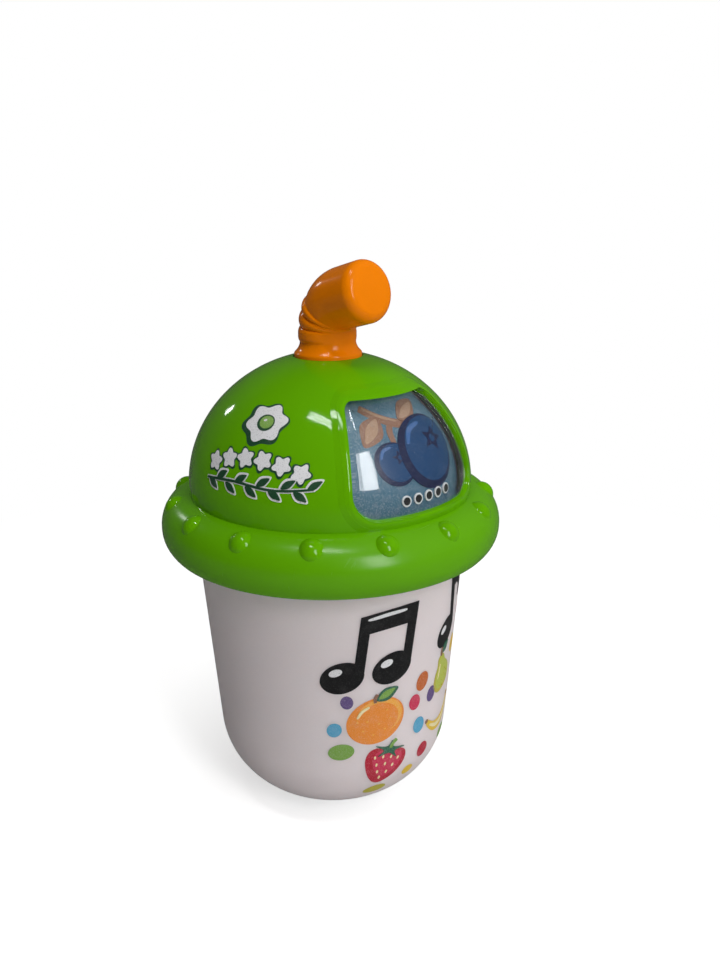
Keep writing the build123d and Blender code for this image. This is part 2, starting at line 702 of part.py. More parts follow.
def wiper_finger(low):
    """One sprung finger, bent down from the wiper's ring to the board."""
    drop = WELL_LOW_Z - WIPER_T - low
    lean = math.degrees(math.atan2(drop, FINGER_RUN))
    length = math.hypot(drop, FINGER_RUN)
    finger = Box(length, FINGER_W, WIPER_T, align=(Align.MIN, Align.CENTER, Align.MIN))
    finger = Pos(-FINGER_RUN / 2, -FINGER_R, WELL_LOW_Z - WIPER_T) * (Rot(0, lean, 0) * finger)
    return finger & block(2 * DRUM_WELL_R, 2 * DRUM_WELL_R, low, WELL_LOW_Z)


def make_lid_wiper():
    """Brass fingers under the straw's well that touch the position board."""
    plate_z = WELL_LOW_Z - WIPER_T
    wiper = ring(WIPER_R, WIPER_INNER_R, plate_z, WELL_LOW_Z)
    finger = wiper_finger(POSITION_TOP_Z + TOUCH_GAP)
    peg_hole = disc(PEG_R + PILOT_GAP, plate_z - OVER, WELL_LOW_Z + OVER)
    for angle in spaced(PEGS):
        wiper += turned(finger, angle)
        wiper -= put(peg_hole, angle + 60.0, PEG_CIRCLE_R)
    return wiper


# ---------------------------------------------------------------- straw
def bend_axis():
    """The axis that the straw bends about, in front of its upright part."""
    return Axis((0, -BEND_R, BEND_Z), (1, 0, 0))


def to_bend(piece, angle):
    """Carry a piece from the Z axis to a place along the bend."""
    return Pos(0, -BEND_R, BEND_Z) * (Rot(angle, 0, 0) * (Pos(0, BEND_R, 0) * piece))


def straw_tube(radius, end_radius, end_length, low):
    """Upright tube, bend and straight end as one full solid."""
    upright = disc(radius, low, BEND_Z)
    bend = revolve(Pos(0, 0, BEND_Z) * Circle(radius), bend_axis(), BEND_ANGLE)
    tip = taper(radius, end_radius, end_length, 0)
    tip = fillet(tip.edges().group_by(Axis.Z)[-1], STRAW_EDGE_R)
    return upright + bend + to_bend(tip, BEND_ANGLE)


def straw_flare():
    """The collar in the well and the flare that rises from it."""
    low = COLLAR_Z - COLLAR_DROP
    top = COLLAR_Z + FLARE_H
    waist = at_xz(STRAW_R + FLARE_WAIST_R, COLLAR_Z + FLARE_WAIST_H)
    outline = Line(at_xz(0, low), at_xz(COLLAR_R, low))
    outline += Line(at_xz(COLLAR_R, low), at_xz(COLLAR_R, COLLAR_Z))
    outline += Spline(at_xz(COLLAR_R, COLLAR_Z), waist, at_xz(STRAW_R, top))
    outline += Line(at_xz(STRAW_R, top), at_xz(0, top))
    outline += Line(at_xz(0, top), at_xz(0, low))
    return solid_of_turn(outline)


def straw_rib():
    """A rounded rib round the outer side of the bend."""
    section = Pos(STRAW_R - RIB_ROOT, 0, 0) * (Rot(90, 0, 0) * Circle(RIB_RISE + RIB_ROOT))
    return Rot(0, 0, 90 - RIB_SPAN / 2) * revolve(section, Axis.Z, RIB_SPAN)


def make_straw():
    straw = straw_flare() + straw_tube(STRAW_R, STRAW_END_R, STRAW_END_L, COLLAR_Z + OVER)
    for angle in RIB_ANGLES:
        straw += to_bend(straw_rib(), angle)
    inner_r = STRAW_R - STRAW_WALL
    straw -= straw_tube(inner_r, inner_r + PILOT_GAP, STRAW_END_L - STRAW_WALL, STEM_PLATE_Z)
    shoulder_z = STEM_PLATE_Z + STEM_PLATE_T
    straw -= disc(SOCKET_R, COLLAR_Z - COLLAR_DROP - OVER, shoulder_z)
    straw -= taper(SOCKET_R, inner_r, SOCKET_R - inner_r, shoulder_z)
    return straw


def make_straw_stem():
    """The plate glued into the straw's collar, with the square stem that runs in the well's floor."""
    plate = disc(SOCKET_R - TOUCH_GAP, STEM_PLATE_Z, STEM_PLATE_Z + STEM_PLATE_T)
    stem = block(STEM_SIDE, STEM_SIDE, STEM_LOW_Z, STEM_PLATE_Z + OVER)
    return plate + stem - hole(STEM_LOW_Z - OVER, WASHER_Z + STRAW_SCREW_L + PILOT_SPARE)


def make_straw_washer():
    return ring(STEM_SIDE / 2 + WASHER_LAP, SCREW_R + SCREW_CLEAR, WASHER_Z, STEM_LOW_Z)


def make_straw_screw():
    return screw(WASHER_Z, STRAW_SCREW_L, head_up=False)


def make_straw_spring():
    low = WELL_FLOOR_Z + TOUCH_GAP + SPRING_WIRE_R
    height = STEM_PLATE_Z - TOUCH_GAP - SPRING_WIRE_R - low
    path = Helix(pitch=height / SPRING_TURNS, height=height, radius=SPRING_R)
    section = Plane(origin=path @ 0, z_dir=path % 0) * Circle(SPRING_WIRE_R)
    return Pos(0, 0, low) * sweep(section, path=path, is_frenet=True)


# ---------------------------------------------------------------- picture drum
def make_picture_drum():
    drum = dome_solid(DRUM_INSET, DECK_TOP_Z) - dome_solid(DRUM_INSET + DRUM_WALL, DECK_TOP_Z - OVER)
    drum &= disc(DRUM_R + OVER, DECK_TOP_Z, DRUM_TOP_Z)
    drum += ring(DRUM_RIM_R, DRUM_WELL_R, DRUM_TOP_Z - DRUM_WALL, DRUM_TOP_Z)
    drum += ring(DRUM_WELL_R + DRUM_WALL, DRUM_WELL_R, COLUMN_TOP_Z, DRUM_TOP_Z)
    drum += ring(DRUM_WELL_R + DRUM_WALL, GUIDE_R, COLUMN_TOP_Z, DRUM_FLOOR_Z)
    for angle in spaced(DRUM_SCREWS, 60.0):
        drum -= put(clearance_hole(COLUMN_TOP_Z - OVER, DRUM_FLOOR_Z + OVER), angle, DRUM_SCREW_R)
    drum -= Pos(0, LEAD_HOLE_Y, 0) * disc(LEAD_HOLE_R, COLUMN_TOP_Z - OVER, DRUM_FLOOR_Z + OVER)
    drum -= click_screw_holes(0)
    return drum


def make_picture_panels():
    """The printed panels wrapped round the drum, a separate solid each."""
    back = DRUM_INSET - TOUCH_GAP
    skin = dome_solid(back - PANEL_T, DECK_TOP_Z) - dome_solid(back, DECK_TOP_Z - OVER)
    half = math.radians(180.0 / PICTURES - PANEL_GAP_ANGLE / 2)
    side = BRIM_R * math.tan(half)
    wedge = Polygon((0, 0), (-side, -BRIM_R), (side, -BRIM_R), align=None)
    panel = skin & Pos(0, 0, PANEL_LOW_Z) * extrude(wedge, amount=PANEL_HIGH_Z - PANEL_LOW_Z)
    return Compound(children=[turned(panel, angle) for angle in spaced(PICTURES)])


def click_angles(offset):
    """The two angles at an offset each side of the click spring's nose, which is at the back."""
    return (180.0 - offset, 180.0 + offset)


def along_radius(radius, piece, outwards):
    """Lay a piece from the Z axis along the front radius, at the click spring's height."""
    return Pos(0, -radius, CLICK_Z) * (Rot(90 if outwards else -90, 0, 0) * piece)


def click_screw_holes(gap):
    bore = disc(SMALL_SCREW_R + gap, -2 * DRUM_WALL, 2 * DRUM_WALL)
    bores = [turned(along_radius(DRUM_R, bore, True), angle) for angle in click_angles(CLICK_SCREW)]
    return bores[0] + bores[1]


def make_click_spring():
    """A bowed steel strip on the drum whose nose rests at the lid's notches."""
    seat_r = DRUM_R + CLICK_SEAT_GAP + CLICK_T / 2
    left = [(CLICK_END, seat_r), (CLICK_BEND, seat_r), (CLICK_KNEE, seat_r + CLICK_BOW)]
    points = [place(180.0 - angle, radius) for angle, radius in left]
    points.append(place(180.0, LID_INNER_R - CLICK_NOSE_GAP))
    points += [place(180.0 + angle, radius) for angle, radius in reversed(left)]
    strip = extrude(trace(Polyline(*points), line_width=CLICK_T), amount=CLICK_H)
    return Pos(0, 0, CLICK_Z - CLICK_H / 2) * strip - click_screw_holes(PILOT_GAP + TOUCH_GAP)


def make_click_spring_screws():
    seat_r = DRUM_R + CLICK_SEAT_GAP + CLICK_T + TOUCH_GAP
    one = along_radius(seat_r, disc(SMALL_SCREW_R, 0, SMALL_SCREW_L), False)
    one += along_radius(seat_r, disc(SMALL_HEAD_R, 0, SMALL_HEAD_T), True)
    return Compound(children=[turned(one, angle) for angle in click_angles(CLICK_SCREW)])


def make_drum_screws():
    one = screw(POSITION_TOP_Z, DRUM_SCREW_L)
    return Compound(children=[put(one, angle, DRUM_SCREW_R) for angle in spaced(DRUM_SCREWS, 60.0)])


def make_position_board():
    board = ring(POSITION_BOARD_R, POSITION_BOARD_HOLE_R, DRUM_FLOOR_Z, POSITION_TOP_Z)
    for angle in spaced(DRUM_SCREWS, 60.0):
        board -= put(clearance_hole(DRUM_FLOOR_Z - OVER, POSITION_TOP_Z + OVER), angle, DRUM_SCREW_R)
    return board


# ---------------------------------------------------------------- chassis and boards
def make_chassis():
    chassis = disc(DECK_R, DECK_Z, DECK_TOP_Z)
    chassis += ring(COLUMN_R, COLUMN_R - COLUMN_WALL, DECK_TOP_Z, COLUMN_TOP_Z)
    chassis += disc(GUIDE_R, DECK_Z, COLUMN_TOP_Z - GUIDE_DROP)
    drum_post = disc(BOSS_R, DECK_Z, COLUMN_TOP_Z)
    drum_pilot = hole(POSITION_TOP_Z - DRUM_SCREW_L - PILOT_SPARE, COLUMN_TOP_Z + OVER)
    board_post = disc(BOSS_R, BOARD_TOP_Z, DECK_Z)
    board_pilot = hole(BOARD_TOP_Z - OVER, BOARD_Z + BOARD_SCREW_L + PILOT_SPARE)
    for angle in spaced(DRUM_SCREWS, 60.0):
        chassis += put(drum_post, angle, DRUM_SCREW_R) & disc(COLUMN_R, DECK_Z, COLUMN_TOP_Z)
        chassis -= put(drum_pilot, angle, DRUM_SCREW_R)
        chassis += put(board_post, angle, BOARD_SCREW_R)
        chassis -= put(board_pilot, angle, BOARD_SCREW_R)
    chassis -= disc(PLUNGER_R + PLUNGER_GAP, DECK_Z - OVER, COLUMN_TOP_Z)
    for angle in spaced(CHASSIS_SCREWS, 45.0):
        chassis -= put(clearance_hole(DECK_Z - OVER, DECK_TOP_Z + OVER), angle, CHASSIS_SCREW_R)
    chassis -= Pos(0, LEAD_HOLE_Y, 0) * disc(LEAD_HOLE_R, DECK_Z - OVER, DECK_TOP_Z + OVER)
    return chassis


def make_chassis_screws():
    one = screw(DECK_TOP_Z, CHASSIS_SCREW_L)
    return Compound(children=[put(one, angle, CHASSIS_SCREW_R) for angle in spaced(CHASSIS_SCREWS, 45.0)])


def make_press_plunger():
    rod = disc(PLUNGER_R, PAD_TOP_Z + TOUCH_GAP, PLUNGER_TOP_Z)
    return rod + disc(PLUNGER_HEAD_R, PLUNGER_TOP_Z - PLUNGER_HEAD_T, PLUNGER_TOP_Z)


def make_switch_pad():
    """A hollow rubber dome on the board, pressed by the plunger."""
    skirt = taper(PAD_R, PLUNGER_R + PAD_TOP_EDGE, PAD_H, BOARD_TOP_Z)
    skirt += disc(PAD_R + PAD_FLANGE_W, BOARD_TOP_Z, BOARD_TOP_Z + PAD_FLANGE_T)
    return skirt - taper(PAD_R - PAD_WALL, PLUNGER_R, PAD_H - PAD_TOP_T, BOARD_TOP_Z)


def make_main_board():
    board = disc(BOARD_R, BOARD_Z, BOARD_TOP_Z)
    for angle in spaced(DRUM_SCREWS, 60.0):
        board -= put(clearance_hole(BOARD_Z - OVER, BOARD_TOP_Z + OVER), angle, BOARD_SCREW_R)
    return board


def make_board_screws():
    one = screw(BOARD_Z, BOARD_SCREW_L, head_up=False)
    return Compound(children=[put(one, angle, BOARD_SCREW_R) for angle in spaced(DRUM_SCREWS, 60.0)])


def make_sound_chip():
    """The round blob of resin over the sound chip."""
    base_z = CHIP_R - CHIP_H
    blob = Sphere(CHIP_R) & block(2 * CHIP_R, 2 * CHIP_R, base_z, CHIP_R + OVER)
    return Pos(CHIP_X, CHIP_Y, BOARD_TOP_Z - base_z) * blob


def make_capacitor():
    return Pos(CAPACITOR_X, CAPACITOR_Y, 0) * disc(CAPACITOR_R, BOARD_TOP_Z, BOARD_TOP_Z + CAPACITOR_H)


def make_cup_lights():
    """Lamps under the board that shine down into the cup."""
    body = disc(LIGHT_R, BOARD_Z - LIGHT_H, BOARD_Z)
    body += Pos(0, 0, BOARD_Z - LIGHT_H) * Sphere(LIGHT_R)
    body += disc(LIGHT_R + LIGHT_RIM_W, BOARD_Z - LIGHT_RIM_T, BOARD_Z)
    return Compound(children=[put(body, angle, LIGHT_CIRCLE_R) for angle in spaced(LIGHTS, 60.0)])


# ---------------------------------------------------------------- cup
def deck_boss():
    """A boss high in the cup that the deck is screwed to, with its web, at the front."""
    low = DECK_Z - CUP_BOSS_H
    reach = wall_radius(DECK_Z) - CUP_WALL / 2 - CHASSIS_SCREW_R
    boss = disc(CUP_BOSS_R, low, DECK_Z) + block(CUP_WEB_T, reach, low, DECK_Z, y=-reach / 2)
    boss -= hole(DECK_TOP_Z - CHASSIS_SCREW_L - PILOT_SPARE, DECK_Z + OVER)
    return Pos(0, -CHASSIS_SCREW_R, 0) * boss


def base_boss():
    """A boss in the cup, held out over the base cap by a web, at the front."""
    low = BASE_BOSS_Z + TOUCH_GAP
    high = low + BASE_BOSS_H
    reach = wall_radius(high) - CUP_WALL / 2 - BASE_SCREW_R
    boss = disc(BASE_BOSS_R, low, high) + block(BASE_WEB_T, reach, low, high, y=-reach / 2)
    boss -= hole(low - OVER, low + BASE_SCREW_BITE + PILOT_SPARE)
    return Pos(0, -BASE_SCREW_R, 0) * boss


def make_cup_shell():
    shell = cup_solid(0, CUP_TOP_Z) + disc(FLANGE_R, FLANGE_Z, CUP_TOP_Z)
    inner = cup_solid(CUP_WALL, CUP_TOP_Z + OVER)
    for angle in spaced(CHASSIS_SCREWS, 45.0):
        inner -= turned(deck_boss(), angle)
    for angle in spaced(BASE_SCREWS, 60.0):
        inner -= turned(base_boss(), angle)
    shell -= inner
    return shell - disc(SEAM_R, -OVER, corner_z(SEAM_R, CUP_WALL) + SEAM_RISE)


# ---------------------------------------------------------------- base cap
def battery_socket():
    """The raised collar in the base that the battery box stands in."""
    width = BOX_W + 2 * SOCKET_GAP
    depth = BOX_D + 2 * SOCKET_GAP
    top = LEDGE_TOP_Z + SOCKET_H
    collar = block(width + 2 * BOX_WALL, depth + 2 * BOX_WALL, 0, top, y=BOX_Y)
    collar += Pos(0, BOX_Y, 0) * door_outline(DOOR_RIM, 0, LEDGE_TOP_Z)
    collar += Pos(0, DOOR_SCREW_Y, 0) * disc(BOSS_R, 0, top)
    return collar - block(width, depth, LEDGE_TOP_Z, top + OVER, y=BOX_Y)


def battery_opening():
    """The cut for the door, the way in to the cells and the door screw's hole."""
    cut = Pos(0, BOX_Y, 0) * door_outline(FIT_GAP, -OVER, LEDGE_Z)
    cut += block(BOX_ROOM_W, BOX_ROOM_D, 0, LEDGE_TOP_Z + OVER, y=BOX_Y)
    return cut + Pos(0, DOOR_SCREW_Y, 0) * hole(0, LEDGE_TOP_Z + SOCKET_H - OVER)


def speaker_seat():
    """The seat ring for the speaker, with a post for each of its screws."""
    seat = disc(SPEAKER_SEAT_R, FLOOR_T / 2, SPEAKER_CLAMP_Z)
    for side in (-1, 1):
        seat += Pos(side * SPEAKER_SCREW_X, 0, 0) * disc(BOSS_R, FLOOR_T / 2, SPEAKER_CLAMP_Z)
    seat -= disc(SPEAKER_R - SPEAKER_SEAT_W, 0, SPEAKER_SEAT_Z)
    return Pos(0, SPEAKER_Y, 0) * (seat - disc(SPEAKER_R + FIT_GAP, SPEAKER_SEAT_Z, SPEAKER_CLAMP_Z))


def speaker_cuts():
    """The sound holes and the pilot holes of the speaker's screws."""
    sound_hole = disc(SOUND_HOLE_R, -OVER, FLOOR_T + OVER)
    cuts = sound_hole
    for radius, count in SOUND_RINGS:
        for angle in spaced(count):
            cuts += put(sound_hole, angle, radius)
    low = SPEAKER_CLAMP_Z + CLAMP_T - SPEAKER_SCREW_L - FIT_GAP
    for side in (-1, 1):
        cuts += Pos(side * SPEAKER_SCREW_X, 0, 0) * hole(low, SPEAKER_CLAMP_Z + OVER)
    return Pos(0, SPEAKER_Y, 0) * cuts


def switch_posts():
    """Two posts that hold the slide switch over its knob."""
    posts = []
    for side in (-1, 1):
        y = SWITCH_Y + side * (SWITCH_L / 2 + FIT_GAP + SWITCH_POST_T / 2)
        posts.append(block(SWITCH_W, SWITCH_POST_T, FLOOR_T / 2, SWITCH_TOP_Z, x=SWITCH_X, y=y))
    return posts[0] + posts[1]


def knob_cuts():
    """The knob's slot, and a flat floor for its plate."""
    slot_w = KNOB_W + 2 * KNOB_SLOT_GAP
    slot_l = KNOB_L + SWITCH_TRAVEL + 2 * KNOB_SLOT_GAP
    plate_w = KNOB_PLATE_W + 2 * KNOB_SLOT_GAP
    plate_l = KNOB_PLATE_L + SWITCH_TRAVEL + 2 * KNOB_SLOT_GAP
    cut = block(slot_w, slot_l, -OVER, FLOOR_T + OVER, x=SWITCH_X, y=SWITCH_Y)
    return cut + block(plate_w, plate_l, FLOOR_T, SWITCH_TOP_Z, x=SWITCH_X, y=SWITCH_Y)


def make_base_cap():
    cap = cup_solid(0, SEAM_R) - cup_solid(CUP_WALL, SEAM_R + OVER)
    cap &= disc(SEAM_R - FIT_GAP, -OVER, SEAM_R)
    foot = disc(FOOT_R, 0, FLOOR_T)
    cap += fillet(foot.edges().group_by(Axis.Z)[0], FOOT_EDGE_R)
    inside = cup_solid(CUP_WALL / 2, SEAM_R)
    lip_r = SEAM_R - LIP_IN
    cap += ring(lip_r, lip_r - LIP_T, 0, BASE_BOSS_Z - TURN_GAP) & inside
    for angle in spaced(BASE_SCREWS, 60.0):
        cap += put(disc(BASE_POST_R, 0, BASE_BOSS_Z), angle, BASE_SCREW_R) & inside
        cap -= put(disc(SCREW_HEAD_R + BASE_HEAD_GAP, -OVER, BASE_SCREW_Z), angle, BASE_SCREW_R)
        cap -= put(clearance_hole(0, BASE_BOSS_Z + OVER), angle, BASE_SCREW_R)
    cap += battery_socket()
    cap += speaker_seat()
    cap -= knob_cuts()
    cap += switch_posts()
    cap -= battery_opening()
    return cap - speaker_cuts()


def make_base_screws():
    length = BASE_BOSS_Z - BASE_SCREW_Z + BASE_SCREW_BITE
    one = screw(BASE_SCREW_Z, length, head_up=False)
    return Compound(children=[put(one, angle, BASE_SCREW_R) for angle in spaced(BASE_SCREWS, 60.0)])


# ---------------------------------------------------------------- batteries
def door_outline(grow, low, high):
    """The battery door: a plate with a tab for its screw, moved out by grow."""
    plate = block(DOOR_W + 2 * grow, DOOR_D + 2 * grow, low, high)
    tab_l = DOOR_D / 2 + DOOR_TAB_L + grow
    return plate + block(DOOR_TAB_W + 2 * grow, tab_l, low, high, y=tab_l / 2)


def make_battery_door():
    seat_z = DOOR_SINK + DOOR_T / 2
    door = Pos(0, BOX_Y, 0) * door_outline(0, DOOR_SINK, DOOR_TOP_Z)
    well = disc(SCREW_HEAD_R + FIT_GAP, DOOR_SINK - OVER, seat_z)
    door -= Pos(0, DOOR_SCREW_Y, 0) * (well + clearance_hole(DOOR_SINK, DOOR_TOP_Z + OVER))
    for i in range(GRIPS):
        y = BOX_Y - GRIP_OUT + i * GRIP_PITCH
        door -= block(GRIP_L, GRIP_W, DOOR_SINK - OVER, DOOR_SINK + GRIP_T, y=y)
    return door


def make_door_screw():
    seat_z = DOOR_SINK + DOOR_T / 2
    head_z = DOOR_SINK + SOCKET_GAP
    body = disc(SCREW_HEAD_R, head_z, seat_z) + disc(SCREW_R, seat_z, LEDGE_TOP_Z + SOCKET_H / 2)
    return Pos(0, DOOR_SCREW_Y, 0) * (body - screw_slot(head_z - OVER, (head_z + seat_z) / 2))


def make_battery_box():
    box = block(BOX_W, BOX_D, LEDGE_TOP_Z, BOX_TOP_Z, y=BOX_Y)
    box -= block(BOX_ROOM_W, BOX_ROOM_D, LEDGE_TOP_Z - OVER, BOX_ROOF_Z, y=BOX_Y)
    for side in (-1, 1):
        slot = block(TAB_W + TAB_ROOM, TAB_T + 2 * TAB_ROOM, BOX_ROOF_Z - OVER, BOX_TOP_Z + OVER)
        box -= Pos(side * CELL_PITCH / 2, BOX_Y, 0) * slot
    return box


def make_battery_cells():
    can = disc(CELL_R, 0, CELL_L - CELL_TIP_L) + disc(CELL_TIP_R, CELL_L - CELL_TIP_L, CELL_L)
    up = Pos(-CELL_PITCH / 2, BOX_Y, CELL_Z) * can
    down = Pos(CELL_PITCH / 2, BOX_Y, CELL_TOP_Z) * (Rot(180, 0, 0) * can)
    return Compound(children=[up, down])


def top_contact(side):
    """A flat contact on the left cell's tip and a sprung one on the right cell's end."""
    plate_top = BOX_ROOF_Z - TOUCH_GAP
    plate_z = plate_top - CONTACT_T
    low = CELL_TOP_Z + TOUCH_GAP
    plate = block(CONTACT_SIDE, CONTACT_SIDE, plate_z, plate_top)
    plate += block(TAB_W, TAB_T, plate_z, BOX_TOP_Z + TAB_H)
    if side < 0:
        plate += disc(CONTACT_BUTTON_R, low, plate_top)
    else:
        plate += ring(CONTACT_COIL_R, CONTACT_COIL_INNER_R, low, plate_top)
    return Pos(side * CELL_PITCH / 2, BOX_Y, 0) * plate


def make_top_contacts():
    return pair_of(top_contact)


def make_door_contacts():
    """The strip on the door that joins the two cells, with a raised seat under each."""
    strip = block(CELL_PITCH + CONTACT_SIDE + OVER, STRIP_D, DOOR_TOP_Z, DOOR_TOP_Z + CONTACT_T)
    seat = ring(STRIP_SEAT_R, STRIP_SEAT_INNER_R, DOOR_TOP_Z, CELL_Z - TOUCH_GAP)
    for side in (-1, 1):
        strip += Pos(side * CELL_PITCH / 2, 0, 0) * seat
    return Pos(0, BOX_Y, 0) * strip


# ---------------------------------------------------------------- speaker
def make_speaker_frame():
    rim = ring(SPEAKER_R, SPEAKER_R - SPEAKER_RIM_W, SPEAKER_SEAT_Z, SPEAKER_CLAMP_Z)
    foot_r = SPEAKER_R - SPEAKER_RIM_W
    height = SPEAKER_TOP_Z - SPEAKER_CLAMP_Z
    basket = taper(foot_r + BASKET_WALL, BASKET_TOP_R, height, SPEAKER_CLAMP_Z)
    basket -= taper(foot_r, BASKET_TOP_R - BASKET_WALL, height, SPEAKER_CLAMP_Z)
    top = ring(BASKET_TOP_R, POLE_R + SOCKET_GAP, SPEAKER_TOP_Z - BASKET_WALL, SPEAKER_TOP_Z)
    return Pos(0, SPEAKER_Y, 0) * (rim + basket + top)


def make_speaker_magnet():
    low = SPEAKER_TOP_Z + PILOT_GAP
    magnet = disc(MAGNET_R, low, SPEAKER_TOP_Z + MAGNET_H)
    return Pos(0, SPEAKER_Y, 0) * (magnet + disc(POLE_R, SPEAKER_TOP_Z - BASKET_WALL, low))


def make_speaker_cone():
    outer_r = SPEAKER_R - SPEAKER_RIM_W - SOCKET_GAP
    low = SPEAKER_SEAT_Z + TURN_GAP
    cone = taper(outer_r, CONE_INNER_R, CONE_SLOPE_H, low)
    cone -= taper(outer_r, CONE_INNER_R, CONE_SLOPE_H, low - CONE_T)
    cap = Pos(0, 0, low + CONE_CAP_RISE) * Sphere(CONE_CAP_R)
    cap &= block(2 * CONE_CAP_R, 2 * CONE_CAP_R, low, low + CONE_SLOPE_H)
    return Pos(0, SPEAKER_Y, 0) * (cone + cap)


def make_speaker_clamp():
    top = SPEAKER_CLAMP_Z + CLAMP_T
    clamp = disc(SPEAKER_R + CLAMP_W, SPEAKER_CLAMP_Z, top)
    for side in (-1, 1):
        clamp += Pos(side * SPEAKER_SCREW_X, 0, 0) * disc(BOSS_R, SPEAKER_CLAMP_Z, top)
    clamp -= disc(SPEAKER_R - CLAMP_W, SPEAKER_CLAMP_Z - OVER, top + OVER)
    for side in (-1, 1):
        clamp -= Pos(side * SPEAKER_SCREW_X, 0, 0) * clearance_hole(SPEAKER_CLAMP_Z - OVER, top + OVER)
    return Pos(0, SPEAKER_Y, 0) * clamp


def speaker_screw(side):
    one = screw(SPEAKER_CLAMP_Z + CLAMP_T, SPEAKER_SCREW_L)
    return Pos(side * SPEAKER_SCREW_X, SPEAKER_Y, 0) * one


def make_speaker_screws():
    return pair_of(speaker_screw)


# ---------------------------------------------------------------- slide switch
def make_switch_knob():
    """The knob of the off / low / high switch, shown at off."""
    y = SWITCH_Y - SWITCH_TRAVEL / 2
    knob = block(KNOB_W, KNOB_L, KNOB_SINK, SWITCH_Z - SLIDE_GAP, x=SWITCH_X, y=y)
    knob += block(KNOB_PLATE_W, KNOB_PLATE_L, KNOB_PLATE_Z, SWITCH_Z - SLIDE_GAP, x=SWITCH_X, y=y)
    for i in (-1, 0, 1):
        groove_y = y + i * KNOB_GROOVE_PITCH
        knob -= block(KNOB_W, KNOB_GROOVE_W, 0, KNOB_SINK + KNOB_GROOVE_T, x=SWITCH_X, y=groove_y)
    return knob


def make_slide_switch():
    body = block(SWITCH_W, SWITCH_L, SWITCH_Z, SWITCH_TOP_Z, x=SWITCH_X, y=SWITCH_Y)
    for i in (-1, 0, 1):
        y = SWITCH_Y + i * SWITCH_PIN_PITCH
        body += block(SWITCH_PIN_W, SWITCH_PIN_T, SWITCH_Z, SWITCH_TOP_Z + SWITCH_PIN_L, x=SWITCH_X, y=y)
    return body


# ---------------------------------------------------------------- leads
def board_lead(x, y, start, rise, drop, bow_x, bow_y):
    """A lead from a start height up to the main board, bowed out on its way."""
    end = BOARD_Z - TOUCH_GAP
    points = [
        (x, y, start),
        (x, y, start + rise),
        (x + bow_x, y + bow_y, (start + end) / 2),
        (x, y, end - drop),
        (x, y, end),
    ]
    return lead_along(points)


def battery_lead(side):
    start = BOX_TOP_Z + TAB_H + TOUCH_GAP
    return board_lead(side * CELL_PITCH / 2, BOX_Y, start, SHORT_RISE, SHORT_RISE, side * LEAD_BOW, LEAD_BOW)


def make_battery_leads():
    return pair_of(battery_lead)


def speaker_lead(side):
    start = SPEAKER_TOP_Z + MAGNET_H + TOUCH_GAP
    return board_lead(side * SPEAKER_LEAD_X, SPEAKER_Y, start, LEAD_RISE, LEAD_DROP, side * LEAD_BOW, -LEAD_BOW)


def make_speaker_leads():
    return pair_of(speaker_lead)


def make_switch_leads():
    start = SWITCH_TOP_Z + SWITCH_PIN_L + TOUCH_GAP
    leads = []
    for i in (-1, 0, 1):
        y = SWITCH_Y + i * SWITCH_PIN_PITCH
        leads.append(board_lead(SWITCH_X, y, start, LEAD_RISE, LEAD_DROP, -LEAD_BOW, i * SWITCH_PIN_W / 2))
    return Compound(children=leads)


def sensor_lead(side):
    lead = disc(WIRE_R, BOARD_TOP_Z + TOUCH_GAP, DRUM_FLOOR_Z - TOUCH_GAP)
    return Pos(side * LEAD_PITCH / 2, LEAD_HOLE_Y, 0) * lead


def make_sensor_leads():
    """Two straight leads from the position board down the column to the main board."""
    return pair_of(sensor_lead)


# ---------------------------------------------------------------- every node, in the order of assembly
NODES = {
    "cup_shell": make_cup_shell,
    "base_cap": make_base_cap,
    "base_screws": make_base_screws,
    "battery_box": make_battery_box,
    "battery_cells": make_battery_cells,
    "top_contacts": make_top_contacts,
    "door_contacts": make_door_contacts,
    "battery_door": make_battery_door,
    "door_screw": make_door_screw,
    "speaker_frame": make_speaker_frame,
    "speaker_magnet": make_speaker_magnet,
    "speaker_cone": make_speaker_cone,
    "speaker_clamp": make_speaker_clamp,
    "speaker_screws": make_speaker_screws,
    "slide_switch": make_slide_switch,
    "switch_knob": make_switch_knob,
    "chassis": make_chassis,
    "chassis_screws": make_chassis_screws,
    "main_board": make_main_board,
    "board_screws": make_board_screws,
    "sound_chip": make_sound_chip,
    "capacitor": make_capacitor,
    "cup_lights": make_cup_lights,
    "switch_pad": make_switch_pad,
    "press_plunger": make_press_plunger,
    "picture_drum": make_picture_drum,
    "picture_panels": make_picture_panels,
    "position_board": make_position_board,
    "drum_screws": make_drum_screws,
    "click_spring": make_click_spring,
    "click_spring_screws": make_click_spring_screws,
    "dome_lid": make_dome_lid,
    "window_lens": make_window_lens,
    "lid_ring": make_lid_ring,
    "lid_screws": make_lid_screws,
    "lid_wiper": make_lid_wiper,
    "straw": make_straw,
    "straw_stem": make_straw_stem,
    "straw_washer": make_straw_washer,
    "straw_screw": make_straw_screw,
    "straw_spring": make_straw_spring,
    "battery_leads": make_battery_leads,
    "speaker_leads": make_speaker_leads,
    "switch_leads": make_switch_leads,
    "sensor_leads": make_sensor_leads,
}

os.makedirs("parts", exist_ok=True)
for name, make in NODES.items():
    export_step(make(), f"parts/{name}.step")
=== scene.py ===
"""Looks of a light-up toy smoothie cup: straw, domed lid with a picture window, translucent cup."""

from math import asin, cos, dist, hypot, pi, radians, sin, sqrt

import bpy
from bpy.props import FloatProperty, FloatVectorProperty, IntProperty, PointerProperty
from bpy.types import Operator, Panel, PropertyGroup
from mathutils import Matrix, Vector
from mathutils.geometry import delaunay_2d_cdt


